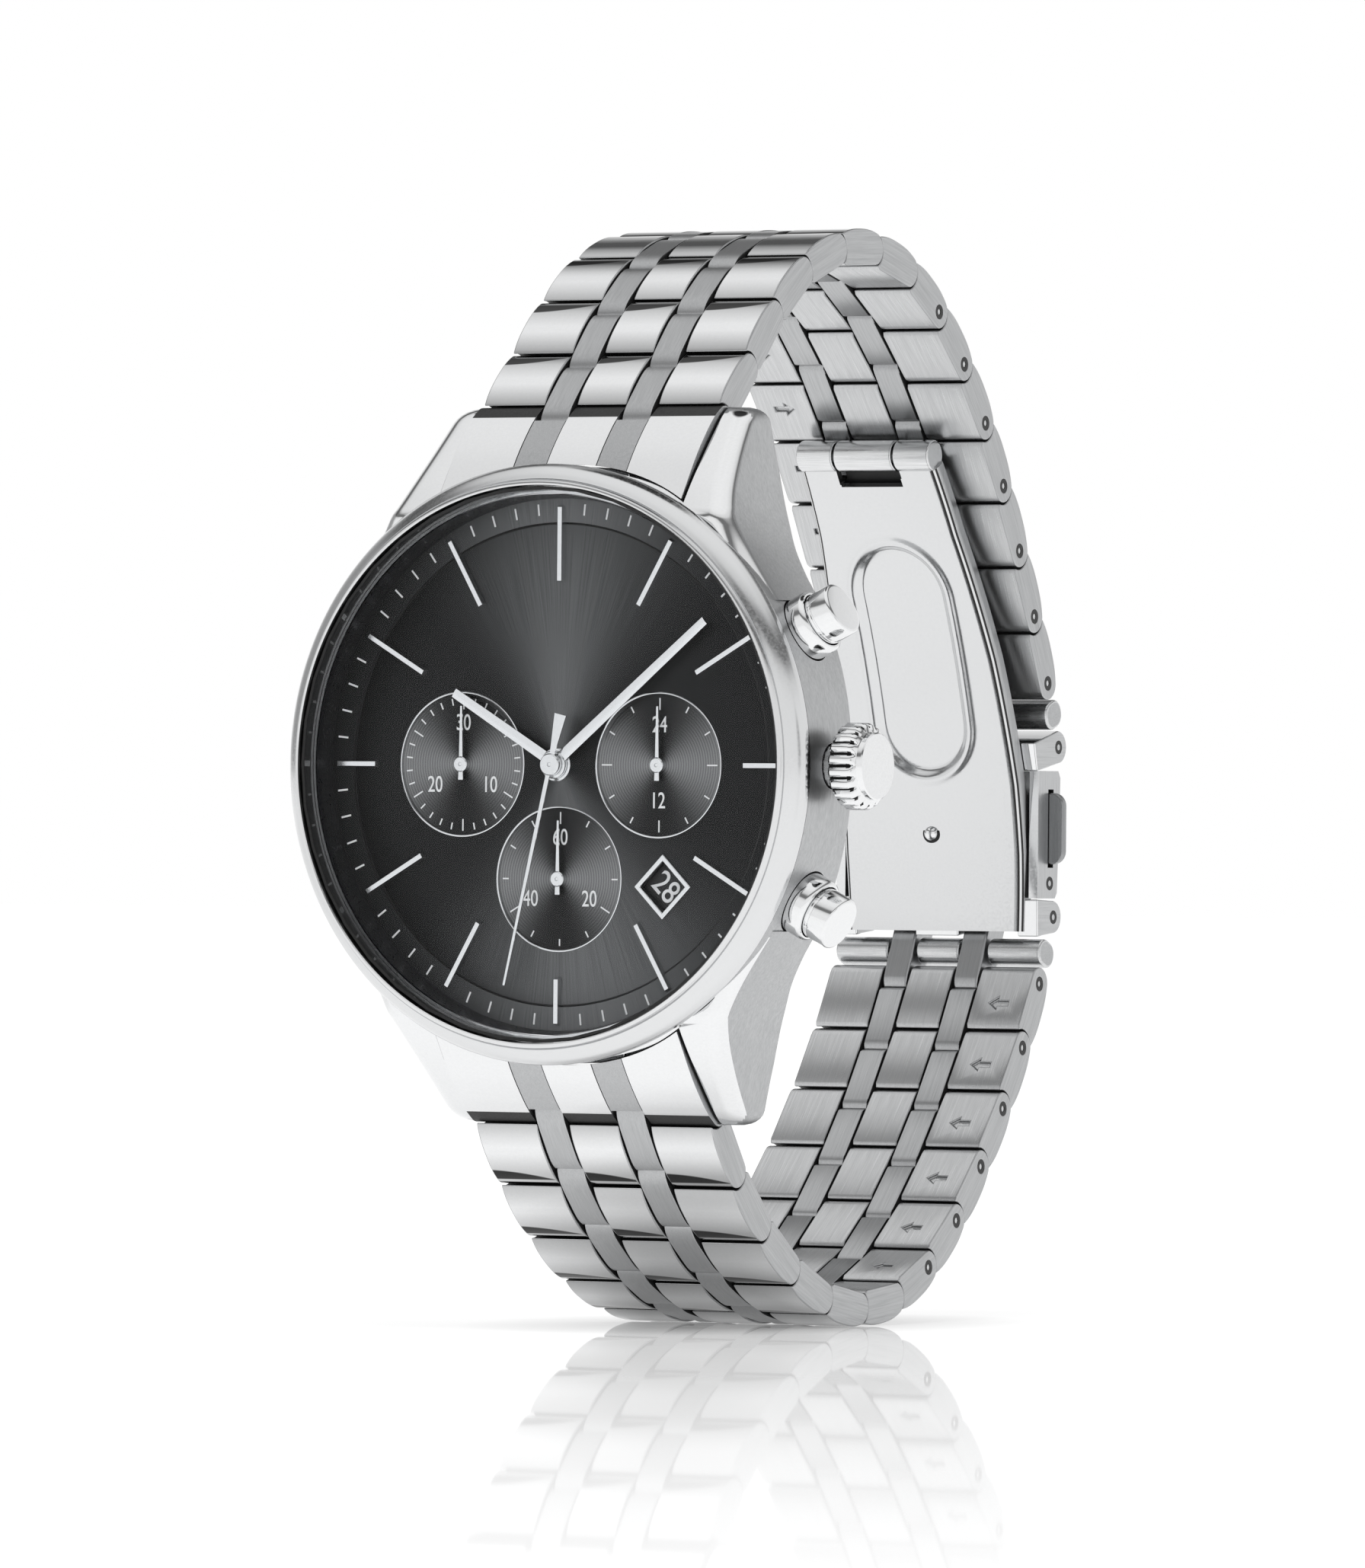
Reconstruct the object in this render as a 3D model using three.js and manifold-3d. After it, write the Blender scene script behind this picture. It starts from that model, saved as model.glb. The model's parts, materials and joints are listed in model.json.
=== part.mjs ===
// Steel chronograph wristwatch on a five-column link bracelet with a fold-over clasp, in millimetres.
// +X points to 3 o'clock, +Z to 12 o'clock, and the dial faces -Y. The origin is the centre of the
// case back's flat face, on the axis of the hands, and the bracelet closes into a loop behind it.
import * as THREE from 'three';
import { mergeVertices } from 'three/addons/utils/BufferGeometryUtils.js';
import Module from 'manifold-3d';

const wasm = await Module();
wasm.setup();

// ---- driving dimensions -------------------------------------------------------------------------

const DIAL_Y = -8.4; // front face of the dial
const CASE_RADIUS = 20.9;
const BEZEL_RADIUS = 21;
const BORE_RADIUS = 18.95; // bore of the middle case
const CASE_FRONT = DIAL_Y - 1.2;
const CRYSTAL_RADIUS = 19.15;
const ROUND_STEPS = 40; // facets of the large round pieces
const SMALL_STEPS = 14;

const LUG_GAP = 10.05; // half the space between a pair of lugs
const LUG_TIP = 25;

const SUB_DIAL_OFFSET = 8;
const SUB_DIAL_RADIUS = 5.1;
const DATE_RADIUS = 12; // centre of the date window, at half past four
const HOUR_ANGLE = 300.8; // degrees clockwise from 12
const MINUTE_ANGLE = 50.4;
const SECONDS_ANGLE = 193.2;

const STEM_Y = DIAL_Y + 2.1; // height of the crown and of both push-pieces
const PUSHER_ANGLE = 27; // degrees above and below 3 o'clock

const HINGE = new THREE.Vector2(DIAL_Y + 5.6, 24); // strap hinge in an end link, (Y, Z) at 12 o'clock
const PITCH = 5.33; // from hinge to hinge along the strap
const LINK_END = 1.2; // radius of a link's round end
const LINK_SOCKET = 1.36; // radius of the hollow that the round end turns in
const LINK_INNER = -1.15; // wrist side of a link, from the hinge line
const WIDE_CREST = 1.6;
const NARROW_CREST = 1.5;
const PIN_RADIUS = 0.45;
const PIN_HOLE = 0.7;
const STRAP_HALF_WIDTH = 9.75; // at the case
const CLASP_HALF_WIDTH = 8.55;
const COLUMN_GAP = 0.09;

// Each strap leaves the case at its first heading and turns by one bend at each hinge, in degrees.
const UPPER_HEADING = 45.5;
const UPPER_BENDS = [0, -1, 9, 17, 17.5, 17.5, 17, 11.5, 8, 6, 3.5, 2, 2.5, 3.5];
const UPPER_HALF_LINK = 5;
const LOWER_HEADING = 55;
const LOWER_BENDS = [0, 9.5, 9.5, 11.5, 14.5, 16, 18, 14, 8, 5, 4.5, 5, 6];
const LOWER_HALF_LINK = 5.3;

// The clasp's two blades are curved sheets about one centre, (Y, Z).
const CLASP_CENTRE = new THREE.Vector2(-17, -12.6);
const PLATE_INNER = 61.9;
const PLATE_OUTER = 62.6;
const PLATE_WALL = 63.2; // outer edge of the plate's side walls
const BLADE_INNER = 62.8;
const BLADE_OUTER = 63.45;
const KNUCKLE_ANGLE = 34.4; // degrees about the clasp's centre
const KNUCKLE_RADIUS = 1.15;
const KNUCKLE_HALF = 5.5;
const BARREL_HALF = 2.4; // half length of the knuckle's middle barrel
const HINGE_PIN_RADIUS = 0.5;
const BLADE_STEP = 3.4; // degrees between the facets of a blade
const COVER_HALF_WIDTH = 8.45;

// ---- solids -------------------------------------------------------------------------------------

const EXTRUDE_X = new THREE.Matrix4().set(0, 0, 1, 0, 1, 0, 0, 0, 0, 1, 0, 0, 0, 0, 0, 1);
const EXTRUDE_Y = new THREE.Matrix4().set(1, 0, 0, 0, 0, 0, -1, 0, 0, 1, 0, 0, 0, 0, 0, 1);
const LATHE_X = new THREE.Matrix4().makeRotationZ(-Math.PI / 2);

const radians = THREE.MathUtils.degToRad;

function polar(radius, degrees, centre = new THREE.Vector2()) {
  const angle = radians(degrees);
  return new THREE.Vector2(centre.x + radius * Math.cos(angle), centre.y + radius * Math.sin(angle));
}

function arc(centre, radius, from, to, steps) {
  const points = [];
  for (let i = 0; i <= steps; i++) points.push(polar(radius, from + ((to - from) * i) / steps, centre));
  return points;
}

function circle(centre, radius, sides) {
  const half = 180 / sides;
  return arc(centre, radius, half, 360 - half, sides - 1);
}

function signedVolume(position, index) {
  const [a, b, c] = [new THREE.Vector3(), new THREE.Vector3(), new THREE.Vector3()];
  let volume = 0;
  for (let i = 0; i < index.length; i += 3) {
    a.fromBufferAttribute(position, index[i]);
    b.fromBufferAttribute(position, index[i + 1]);
    c.fromBufferAttribute(position, index[i + 2]);
    volume += a.dot(b.cross(c)) / 6;
  }
  return volume;
}

// A closed three.js geometry becomes a solid with its faces pointing out.
function solidOf(geometry, matrix = new THREE.Matrix4()) {
  const plain = geometry.clone().applyMatrix4(matrix);
  plain.deleteAttribute('normal');
  plain.deleteAttribute('uv');
  const merged = mergeVertices(plain, 1e-5);
  const triangles = [];
  const index = merged.index.array;
  for (let i = 0; i < index.length; i += 3) {
    const [a, b, c] = index.slice(i, i + 3);
    if (a !== b && b !== c && c !== a) triangles.push(a, b, c);
  }
  if (signedVolume(merged.attributes.position, triangles) < 0) triangles.reverse();
  const vertProperties = new Float32Array(merged.attributes.position.array);
  const triVerts = new Uint32Array(triangles);
  return new wasm.Manifold(new wasm.Mesh({ numProp: 3, vertProperties, triVerts }));
}

function prism(points, depth, matrix, holes = []) {
  const shape = new THREE.Shape(points);
  for (const hole of holes) shape.holes.push(new THREE.Path(hole));
  return solidOf(new THREE.ExtrudeGeometry(shape, { depth, bevelEnabled: false }), matrix);
}

// An outline of (Y, Z) points drawn out along X, and one of (X, Z) points drawn out along Y.
function prismX(points, fromX, toX, holes = []) {
  const matrix = new THREE.Matrix4().makeTranslation(fromX, 0, 0).multiply(EXTRUDE_X);
  return prism(points, toX - fromX, matrix, holes);
}

function prismY(points, fromY, toY) {
  const matrix = new THREE.Matrix4().makeTranslation(0, toY, 0).multiply(EXTRUDE_Y);
  return prism(points, toY - fromY, matrix);
}

function rectangle(x0, y0, x1, y1) {
  return [[x0, y0], [x1, y0], [x1, y1], [x0, y1]].map(([x, y]) => new THREE.Vector2(x, y));
}

// Profile of [radius, height] pairs turned about Y; one that stays off the axis closes on itself.
function turned(profile, steps, matrix) {
  const points = profile.map(([r, y]) => new THREE.Vector2(r, y));
  const open = profile[0][0] > 0;
  if (open) points.push(points[0].clone());
  return solidOf(new THREE.LatheGeometry(points, steps), matrix);
}

// The same, turned about the X axis at the height of the crown, then swung towards 2 or 4 o'clock.
function turnedX(profile, steps, swing = 0) {
  const matrix = new THREE.Matrix4().makeRotationY(-radians(swing));
  matrix.premultiply(new THREE.Matrix4().makeTranslation(0, STEM_Y, 0));
  return turned(profile, steps, matrix.multiply(LATHE_X));
}

function joined(parts) {
  return parts.reduce((whole, part) => whole.add(part));
}

function steel(color, roughness) {
  return new THREE.MeshStandardMaterial({ color, roughness, metalness: 1 });
}

const polishedSteel = () => steel(0xe2e3e4, 0.08);
const brushedSteel = () => steel(0xb9bbbc, 0.32);
const enamel = (color, roughness) => new THREE.MeshStandardMaterial({ color, roughness, metalness: 0 });

const watch = new THREE.Group();

function addPiece(name, solid, material, parent = watch) {
  const { vertProperties, triVerts } = solid.getMesh();
  const geometry = new THREE.BufferGeometry();
  geometry.setAttribute('position', new THREE.BufferAttribute(new Float32Array(vertProperties), 3));
  geometry.setIndex(new THREE.BufferAttribute(new Uint32Array(triVerts), 1));
  geometry.computeVertexNormals();
  const mesh = new THREE.Mesh(geometry, material);
  mesh.name = name;
  parent.add(mesh);
  return mesh;
}

// ---- case ---------------------------------------------------------------------------------------

// Half outline of the case seen from the side, (Y, Z): slanting lug fronts and arched underside.
function sideOutline() {
  const front = [[-1.2, 17.4], [0.5, 19.6], [2.6, 22.1], [5.2, LUG_TIP]];
  const rear = [[8.1, 24.4], [8.2, 20.2], [7.7, 17.2], [6.5, 14], [5.3, 8], [4.5, 0]];
  const upper = [...front, ...rear].map(([y, z]) => new THREE.Vector2(DIAL_Y + y, z));
  const lower = upper.slice(0, -1).reverse().map((p) => new THREE.Vector2(p.x, -p.y));
  return [...upper, ...lower];
}

function lugOutline() {
  const outer = [[15.6, 13], [14, 15.4], [13, 18.2], [12.4, 21.6], [12.05, LUG_TIP]];
  const points = [[LUG_GAP, 13], ...outer, [LUG_GAP, LUG_TIP]];
  return points.map(([x, z]) => new THREE.Vector2(x, z));
}

function mirrored(points, flipX, flipY) {
  return points.map((p) => new THREE.Vector2(p.x * flipX, p.y * flipY));
}

function springBarCentre(side) {
  return new THREE.Vector2(DIAL_Y + 4.4, side * 22.1);
}

function springBarRod(side, radius, halfLength) {
  return prismX(circle(springBarCentre(side), radius, 8), -halfLength, halfLength);
}

function midCase() {
  const plan = [prismY(circle(new THREE.Vector2(), CASE_RADIUS, ROUND_STEPS), CASE_FRONT, 0)];
  for (const x of [1, -1]) {
    for (const z of [1, -1]) plan.push(prismY(mirrored(lugOutline(), x, z), CASE_FRONT, 0));
  }
  let body = joined(plan).intersect(prismX(sideOutline(), -22, 22));
  body = body.subtract(prismY(circle(new THREE.Vector2(), BORE_RADIUS, ROUND_STEPS), CASE_FRONT - 1, 1));
  body = body.subtract(turnedX([[0, 15], [1.6, 15], [1.6, 22], [0, 22]], SMALL_STEPS));
  for (const swing of [PUSHER_ANGLE, -PUSHER_ANGLE]) {
    const seat = [[0, 15], [1.1, 15], [1.1, 20.05], [2.4, 20.05], [2.4, 24], [0, 24]];
    body = body.subtract(turnedX(seat, SMALL_STEPS, swing));
  }
  for (const side of [1, -1]) body = body.subtract(springBarRod(side, 0.75, 11.4));
  return body;
}

function bezel() {
  const d = DIAL_Y;
  return turned([[BEZEL_RADIUS, d - 1.25], [BEZEL_RADIUS, d - 2.1], [20.6, d - 2.8], [19.95, d - 3.3],
    [19.5, d - 3.4], [19.5, d - 1.85], [BORE_RADIUS, d - 1.85], [BORE_RADIUS, d - 1.25]], ROUND_STEPS);
}

function crystal() {
  const [front, back] = [DIAL_Y - 3.2, DIAL_Y - 1.9];
  const edge = CRYSTAL_RADIUS - 0.25;
  const rim = [[edge, front], [CRYSTAL_RADIUS, front + 0.25], [CRYSTAL_RADIUS, back]];
  return turned([[0, front], ...rim, [0, back]], ROUND_STEPS);
}

function crystalGasket() {
  const [inner, outer] = [CRYSTAL_RADIUS + 0.07, 19.43];
  return turned([[inner, DIAL_Y - 3], [outer, DIAL_Y - 3], [outer, DIAL_Y - 1.9], [inner, DIAL_Y - 1.9]],
    ROUND_STEPS);
}

function caseBack() {
  const radius = BORE_RADIUS - 0.1;
  return turned([[0, 0], [16.8, 0], [18, -0.5], [radius, -1.5], [radius, -4.2], [18.1, -4.2], [18.1, -2],
    [0, -2]], ROUND_STEPS);
}

function dialFlange() {
  return turned([[18.62, DIAL_Y - 0.05], [18.88, DIAL_Y - 0.05], [18.88, DIAL_Y - 1.8], [18.8, DIAL_Y - 1.8]],
    ROUND_STEPS);
}

function movement() {
  const d = DIAL_Y;
  const profile = [[0, d + 1.2], [17.8, d + 1.2], [17.8, d + 2.8], [15.2, d + 3.4], [15.2, d + 6],
    [0, d + 6]];
  const stemHole = turnedX([[0, 15], [0.7, 15], [0.7, 19], [0, 19]], 8);
  return turned(profile, 24).subtract(stemHole);
}

function spot(x, z, radius, sides, fromY, toY) {
  return prismY(circle(new THREE.Vector2(x, z), radius, sides), fromY, toY);
}

const SUB_DIALS = {
  minutes: [-SUB_DIAL_OFFSET, 0],
  hours: [SUB_DIAL_OFFSET, 0],
  seconds: [0, -SUB_DIAL_OFFSET],
};

function dateCentre() {
  return polar(DATE_RADIUS, -45);
}

function dial() {
  const [front, back] = [DIAL_Y, DIAL_Y + 0.4];
  let plate = spot(0, 0, 18.8, ROUND_STEPS, front, back);
  plate = plate.subtract(spot(0, 0, 1.25, 12, front - 1, back + 1));
  for (const [x, z] of Object.values(SUB_DIALS)) {
    plate = plate.subtract(spot(x, z, SUB_DIAL_RADIUS, 32, front - 1, front + 0.15));
    plate = plate.subtract(spot(x, z, 0.35, 8, front - 1, back + 1));
  }
  const centre = dateCentre();
  return plate.subtract(prismY(arc(centre, 1.65, 0, 270, 3), front - 1, back + 1));
}

function dateDisc() {
  const [front, back] = [DIAL_Y + 0.5, DIAL_Y + 0.75];
  return turned([[10.2, front], [13.9, front], [13.9, back], [10.2, back]], 36);
}

// ---- hands --------------------------------------------------------------------------------------

// Blade outline pointing to 12 o'clock with its tail below the hub, drawn as half of a symmetric shape.
function handBlade(half, thickness, lift) {
  const points = half.map(([x, z]) => new THREE.Vector2(x, z));
  const left = [...points].reverse().filter((p) => p.x > 0).map((p) => new THREE.Vector2(-p.x, p.y));
  return prismY([...points, ...left], lift - thickness, lift);
}

function hand(half, hubRadius, bore, lift, pipeEnd) {
  const thickness = 0.14;
  let whole = handBlade(half, thickness, lift);
  whole = whole.add(spot(0, 0, hubRadius, 12, lift - thickness - 0.12, lift));
  whole = whole.add(spot(0, 0, bore + 0.22, 12, lift - thickness, pipeEnd));
  return bore > 0 ? whole.subtract(spot(0, 0, bore, 12, lift - 2, pipeEnd + 1)) : whole;
}

function addHand(name, solid, centre, degrees) {
  const mesh = addPiece(name, solid, polishedSteel());
  mesh.position.set(centre[0], 0, centre[1]);
  mesh.rotation.y = radians(degrees);
}

function addHands() {
  const through = DIAL_Y + 1;
  const hour = [[0.4, 0], [0.34, 9.8]];
  const minute = [[0.4, 0], [0.31, 15.8]];
  const sweep = [[0.48, -3.6], [0.2, -0.9], [0.17, 0], [0.09, 15.9]];
  const small = [[0.32, -1.2], [0.16, 0], [0.08, 4.1]];
  addHand('hour_hand', hand(hour, 1.35, 0.78, DIAL_Y - 0.4, through), [0, 0], HOUR_ANGLE);
  addHand('minute_hand', hand(minute, 1.1, 0.45, DIAL_Y - 0.8, through), [0, 0], MINUTE_ANGLE);
  addHand('chrono_seconds_hand', hand(sweep, 0.8, 0, DIAL_Y - 1.2, through), [0, 0], SECONDS_ANGLE);
  for (const [name, centre] of Object.entries(SUB_DIALS)) {
    addHand(`small_${name}_hand`, hand(small, 0.5, 0, DIAL_Y - 0.05, through), centre, 0);
  }
}

// ---- crown and push-pieces ----------------------------------------------------------------------

function addCrown() {
  addPiece('crown_tube', turnedX([[0.95, 19.1], [1.5, 19.1], [1.5, 21.7], [0.95, 21.7]], SMALL_STEPS),
    brushedSteel());
  addPiece('crown_gasket', turnedX([[0.62, 20.2], [0.88, 20.2], [0.88, 20.8], [0.62, 20.8]], 12),
    enamel(0x1b1b1c, 0.7));
  addPiece('winding_stem', turnedX([[0, 15.6], [0.55, 15.6], [0.55, 21.95], [0, 21.95]], 12), brushedSteel());
  const flutes = 20;
  const outline = [];
  for (let i = 0; i < 2 * flutes; i++) {
    outline.push(polar(i % 2 ? 3.05 : 2.8, (180 * i) / flutes, new THREE.Vector2(STEM_Y, 0)));
  }
  const cap = turnedX([[0, 23.5], [2.75, 23.5], [2.75, 23.9], [2.4, 24.4], [0, 24.45]], 24);
  addPiece('crown', prismX(outline, 22, 23.85).add(cap), polishedSteel());
}

function addPusher(hour, swing) {
  const collar = [[1, 20.1], [2.3, 20.1], [2.3, 22.1], [2.05, 22.35], [2, 22.35], [2, 21.1], [1, 21.1]];
  addPiece(`pusher_collar_${hour}`, turnedX(collar, SMALL_STEPS, swing), polishedSteel());
  const cap = [[0, 19.4], [0.85, 19.4], [0.85, 22.2], [1.9, 22.2], [1.9, 24], [1.75, 24.2], [0, 24.2]];
  addPiece(`pusher_${hour}`, turnedX(cap, SMALL_STEPS, swing), polishedSteel());
}

// ---- bracelet -----------------------------------------------------------------------------------

// Column edges across half of a row that is `half` wide: centre, narrow and outer link.
function columns(half) {
  const scale = half / STRAP_HALF_WIDTH;
  const centre = 2.05 * scale;
  const narrow = centre + COLUMN_GAP + 2.45 * scale;
  return { centre, narrowFrom: centre + COLUMN_GAP, narrowTo: narrow, outer: narrow + COLUMN_GAP, half };
}

// Link outlines, (along, outward) from the hinge at the case end: round at one end, hollow at the other.
function wideOutline() {
  const end = new THREE.Vector2(PITCH, 0);
  return [
    ...arc(end, LINK_END, -75, 62, 3),
    new THREE.Vector2(PITCH / 2 + 0.6, WIDE_CREST),
    ...arc(new THREE.Vector2(), LINK_SOCKET, 60, -40, 2),
    new THREE.Vector2(1.85, LINK_INNER),
  ];
}

function narrowOutline() {
  const crest = wideOutline().map((p) => (p.y === WIDE_CREST ? new THREE.Vector2(p.x, NARROW_CREST) : p));
  return crest.map((p) => new THREE.Vector2(PITCH - p.x, p.y)).reverse();
}

function wideLinks(outline, column) {
  return [
    prismX(outline, -column.centre, column.centre),
    prismX(outline, column.outer, column.half),
    prismX(outline, -column.half, -column.outer),
  ];
}

function narrowLinks(outline, column, holes) {
  return [
    prismX(outline, column.narrowFrom, column.narrowTo, holes),
    prismX(outline, -column.narrowTo, -column.narrowFrom, holes),
  ];
}

function crossPin(along, column, sides) {
  const reach = column.outer + 0.4;
  return prismX(circle(new THREE.Vector2(along, 0), PIN_RADIUS, sides), -reach, reach);
}

function pinHole(along) {
  return circle(new THREE.Vector2(along, 0), PIN_HOLE, 4);
}

// Three wide links and the two narrow ones pinned between them, whose ends reach into the row before.
function linkRow(half) {
  const column = columns(half);
  return joined([
    ...wideLinks(wideOutline(), column),
    ...narrowLinks(narrowOutline(), column, [pinHole(0)]),
    crossPin(PITCH / 2, column, 4),
    crossPin(PITCH, column, 4),
  ]);
}

// The short row at the clasp: its narrow links are round at both ends.
function halfLinkRow(half, length, wideEnd) {
  const column = columns(half);
  const wideStart = 1.45;
  const bar = [
    [wideStart, -0.8], [wideStart + 0.35, LINK_INNER], [wideEnd - 0.35, LINK_INNER], [wideEnd, -0.8],
    [wideEnd, 0.7], [wideEnd - 0.4, 1.25], [wideStart + 0.4, 1.25], [wideStart, 0.7],
  ];
  const narrow = [...arc(new THREE.Vector2(length, 0), LINK_END, -75, 75, 3),
    ...arc(new THREE.Vector2(), LINK_END, 105, 255, 3)];
  return joined([
    ...wideLinks(bar.map(([s, n]) => new THREE.Vector2(s, n)), column),
    ...narrowLinks(narrow, column, [pinHole(0), pinHole(length)]),
    crossPin((wideStart + wideEnd) / 2, column, 4),
  ]);
}

// Hinge points of a strap, (Y, Z); side is 1 above the case and -1 below it.
function hinges(heading, bends, halfLink, side) {
  const points = [new THREE.Vector2(HINGE.x, side * HINGE.y)];
  let angle = side * heading;
  bends.forEach((bend, i) => {
    angle -= side * bend;
    points.push(polar(i < bends.length - 1 ? PITCH : halfLink, angle, points[i]));
  });
  return points;
}

// Each row hangs in a group turned about the hinge of the row before.
function addStrap(name, heading, bends, halfLink, halfLinkEnd, side) {
  let parent = new THREE.Group();
  parent.position.set(0, HINGE.x, side * HINGE.y);
  parent.rotation.x = radians(side * heading);
  watch.add(parent);
  const rows = bends.length - 1;
  bends.forEach((bend, i) => {
    const group = new THREE.Group();
    group.position.y = i > 0 ? PITCH : 0;
    group.rotation.x = radians(-side * bend);
    parent.add(group);
    parent = group;
    const half = THREE.MathUtils.lerp(STRAP_HALF_WIDTH, CLASP_HALF_WIDTH, Math.min(1, (i + 1) / rows));
    const last = i === rows;
    const solid = last ? halfLinkRow(half, halfLink, halfLinkEnd) : linkRow(half);
    const label = last ? 'half_link' : `row_${String(i + 1).padStart(2, '0')}`;
    const mesh = addPiece(`${name}_${label}`, solid, brushedSteel(), group);
    mesh.rotation.y = side > 0 ? 0 : Math.PI;
  });
}

// Block between the lugs whose outer corner carries the first hinge of a strap.
function endLink(side) {
  const hinge = new THREE.Vector2(HINGE.x, HINGE.y);
  const front = [[-0.7, 18.1], [-0.1, 19.2], [1.8, 21.9], [3.9, 24]];
  const rear = [[6.9, 22.6], [6.6, 19.2], [5.4, 18]];
  const outline = [...front.map(([y, z]) => new THREE.Vector2(DIAL_Y + y, z)),
    ...arc(hinge, LINK_END, 137, -20, 3), ...rear.map(([y, z]) => new THREE.Vector2(DIAL_Y + y, z))];
  const half = LUG_GAP - 0.1;
  const column = columns(STRAP_HALF_WIDTH);
  let block = prismX(mirrored(outline, 1, side), -half, half);
  const [slotFrom, slotTo] = [column.centre, column.outer];
  const mouth = [...arc(hinge, LINK_SOCKET, 150, 325, 5), ...arc(hinge, 3.4, 325, 510, 4)];
  for (const x of [[slotFrom, slotTo], [-slotTo, -slotFrom]]) {
    block = block.subtract(prismX(mirrored(mouth, 1, side), x[0], x[1]));
  }
  const reach = slotTo + 0.4;
  const pin = prismX(circle(new THREE.Vector2(hinge.x, side * hinge.y), PIN_RADIUS, 6), -reach, reach);
  block = block.add(pin).subtract(spot(0, 0, CASE_RADIUS + 0.2, ROUND_STEPS, -12, 2));
  return block.subtract(springBarRod(side, 0.72, half + 1));
}

function springBar(side) {
  return springBarRod(side, 0.62, 11.2);
}

// ---- clasp --------------------------------------------------------------------------------------

// Curved sheet between two radii about the clasp's centre, drawn out along X.
function bladeSector(inner, outer, from, to, halfWidth) {
  const steps = Math.ceil((to - from) / BLADE_STEP);
  const outside = arc(CLASP_CENTRE, outer, from, to, steps);
  const inside = arc(CLASP_CENTRE, inner, to, from, steps);
  return prismX([...outside, ...inside], -halfWidth, halfWidth);
}

// Plan outline of the plate, (X, Z): narrow at the knuckle and wide at the strap, less an inset.
function platePlan(inset) {
  const half = [[7.3, -14], [7.55, -6], [7.5, -1], [6.9, 8], [5.9, 17], [5.5, 26]];
  const right = half.map(([x, z]) => new THREE.Vector2(x - inset, z));
  return [...right, ...mirrored(right, -1, 1).reverse()];
}

// A plan outline drawn out along Y through both blades.
function planOfClasp(outline) {
  return prismY(outline, 20, 60);
}

function knuckleCentre() {
  return polar((PLATE_INNER + BLADE_OUTER) / 2, KNUCKLE_ANGLE, CLASP_CENTRE);
}

// Ear round a hinge point that stands on a curved sheet.
function ear(hinge, base, spread, fromX, toX) {
  const facing = THREE.MathUtils.radToDeg(hinge.clone().sub(CLASP_CENTRE).angle());
  const foot = [polar(base, facing + spread, CLASP_CENTRE), polar(base, facing - spread, CLASP_CENTRE)];
  return prismX([...foot, ...arc(hinge, LINK_END, facing - 80, facing + 80, 4)], fromX, toX);
}

function ears(hinge, base, spread, outerFrom) {
  const column = columns(CLASP_HALF_WIDTH);
  return [
    ear(hinge, base, spread, -column.centre, column.centre),
    ear(hinge, base, spread, outerFrom, COVER_HALF_WIDTH),
    ear(hinge, base, spread, -COVER_HALF_WIDTH, -outerFrom),
  ];
}

function knuckleRod(radius, fromX, toX) {
  return prismX(circle(knuckleCentre(), radius, 12), fromX, toX);
}

function hingePin(radius, half) {
  return prismX(circle(knuckleCentre(), radius, 8), -half, half);
}

function innerPlate(lowerHinge) {
  const bottom = 0.9;
  const top = KNUCKLE_ANGLE - 0.8;
  let plate = bladeSector(PLATE_INNER, PLATE_WALL, bottom, top, CLASP_HALF_WIDTH);
  plate = plate.intersect(planOfClasp(platePlan(0)));
  const channel = bladeSector(PLATE_OUTER, PLATE_WALL + 2, bottom - 3, top + 3, CLASP_HALF_WIDTH);
  plate = plate.subtract(channel.intersect(planOfClasp(platePlan(0.65))));
  plate = plate.subtract(stadium());
  const slot = polar(PLATE_INNER, KNUCKLE_ANGLE - 1.6, CLASP_CENTRE);
  plate = plate.subtract(prismX(circle(slot, 1.35, 8), -BARREL_HALF - 0.2, BARREL_HALF + 0.2));
  const barrelFrom = BARREL_HALF + 0.15;
  for (const x of [[barrelFrom, KNUCKLE_HALF], [-KNUCKLE_HALF, -barrelFrom]]) {
    plate = plate.add(knuckleRod(KNUCKLE_RADIUS, x[0], x[1]));
  }
  plate = joined([plate, ...ears(lowerHinge, PLATE_INNER + 0.4, 1.25, 6.75)]);
  const middle = knuckleRod(KNUCKLE_RADIUS + 0.2, -barrelFrom, barrelFrom);
  return plate.subtract(middle).subtract(hingePin(HINGE_PIN_RADIUS + 0.06, CLASP_HALF_WIDTH));
}

// Shallow stadium-shaped panel pressed into the wrist side of the plate.
function stadium() {
  const half = 3.7;
  const [topCentre, bottomCentre] = [new THREE.Vector2(0, 12.6), new THREE.Vector2(0, 3.4)];
  const outline = [...arc(topCentre, half, 0, 180, 6), ...arc(bottomCentre, half, 180, 360, 6)];
  const skin = bladeSector(PLATE_INNER - 3, PLATE_INNER + 0.25, 3, 33, CLASP_HALF_WIDTH);
  return skin.intersect(planOfClasp(outline));
}

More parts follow.
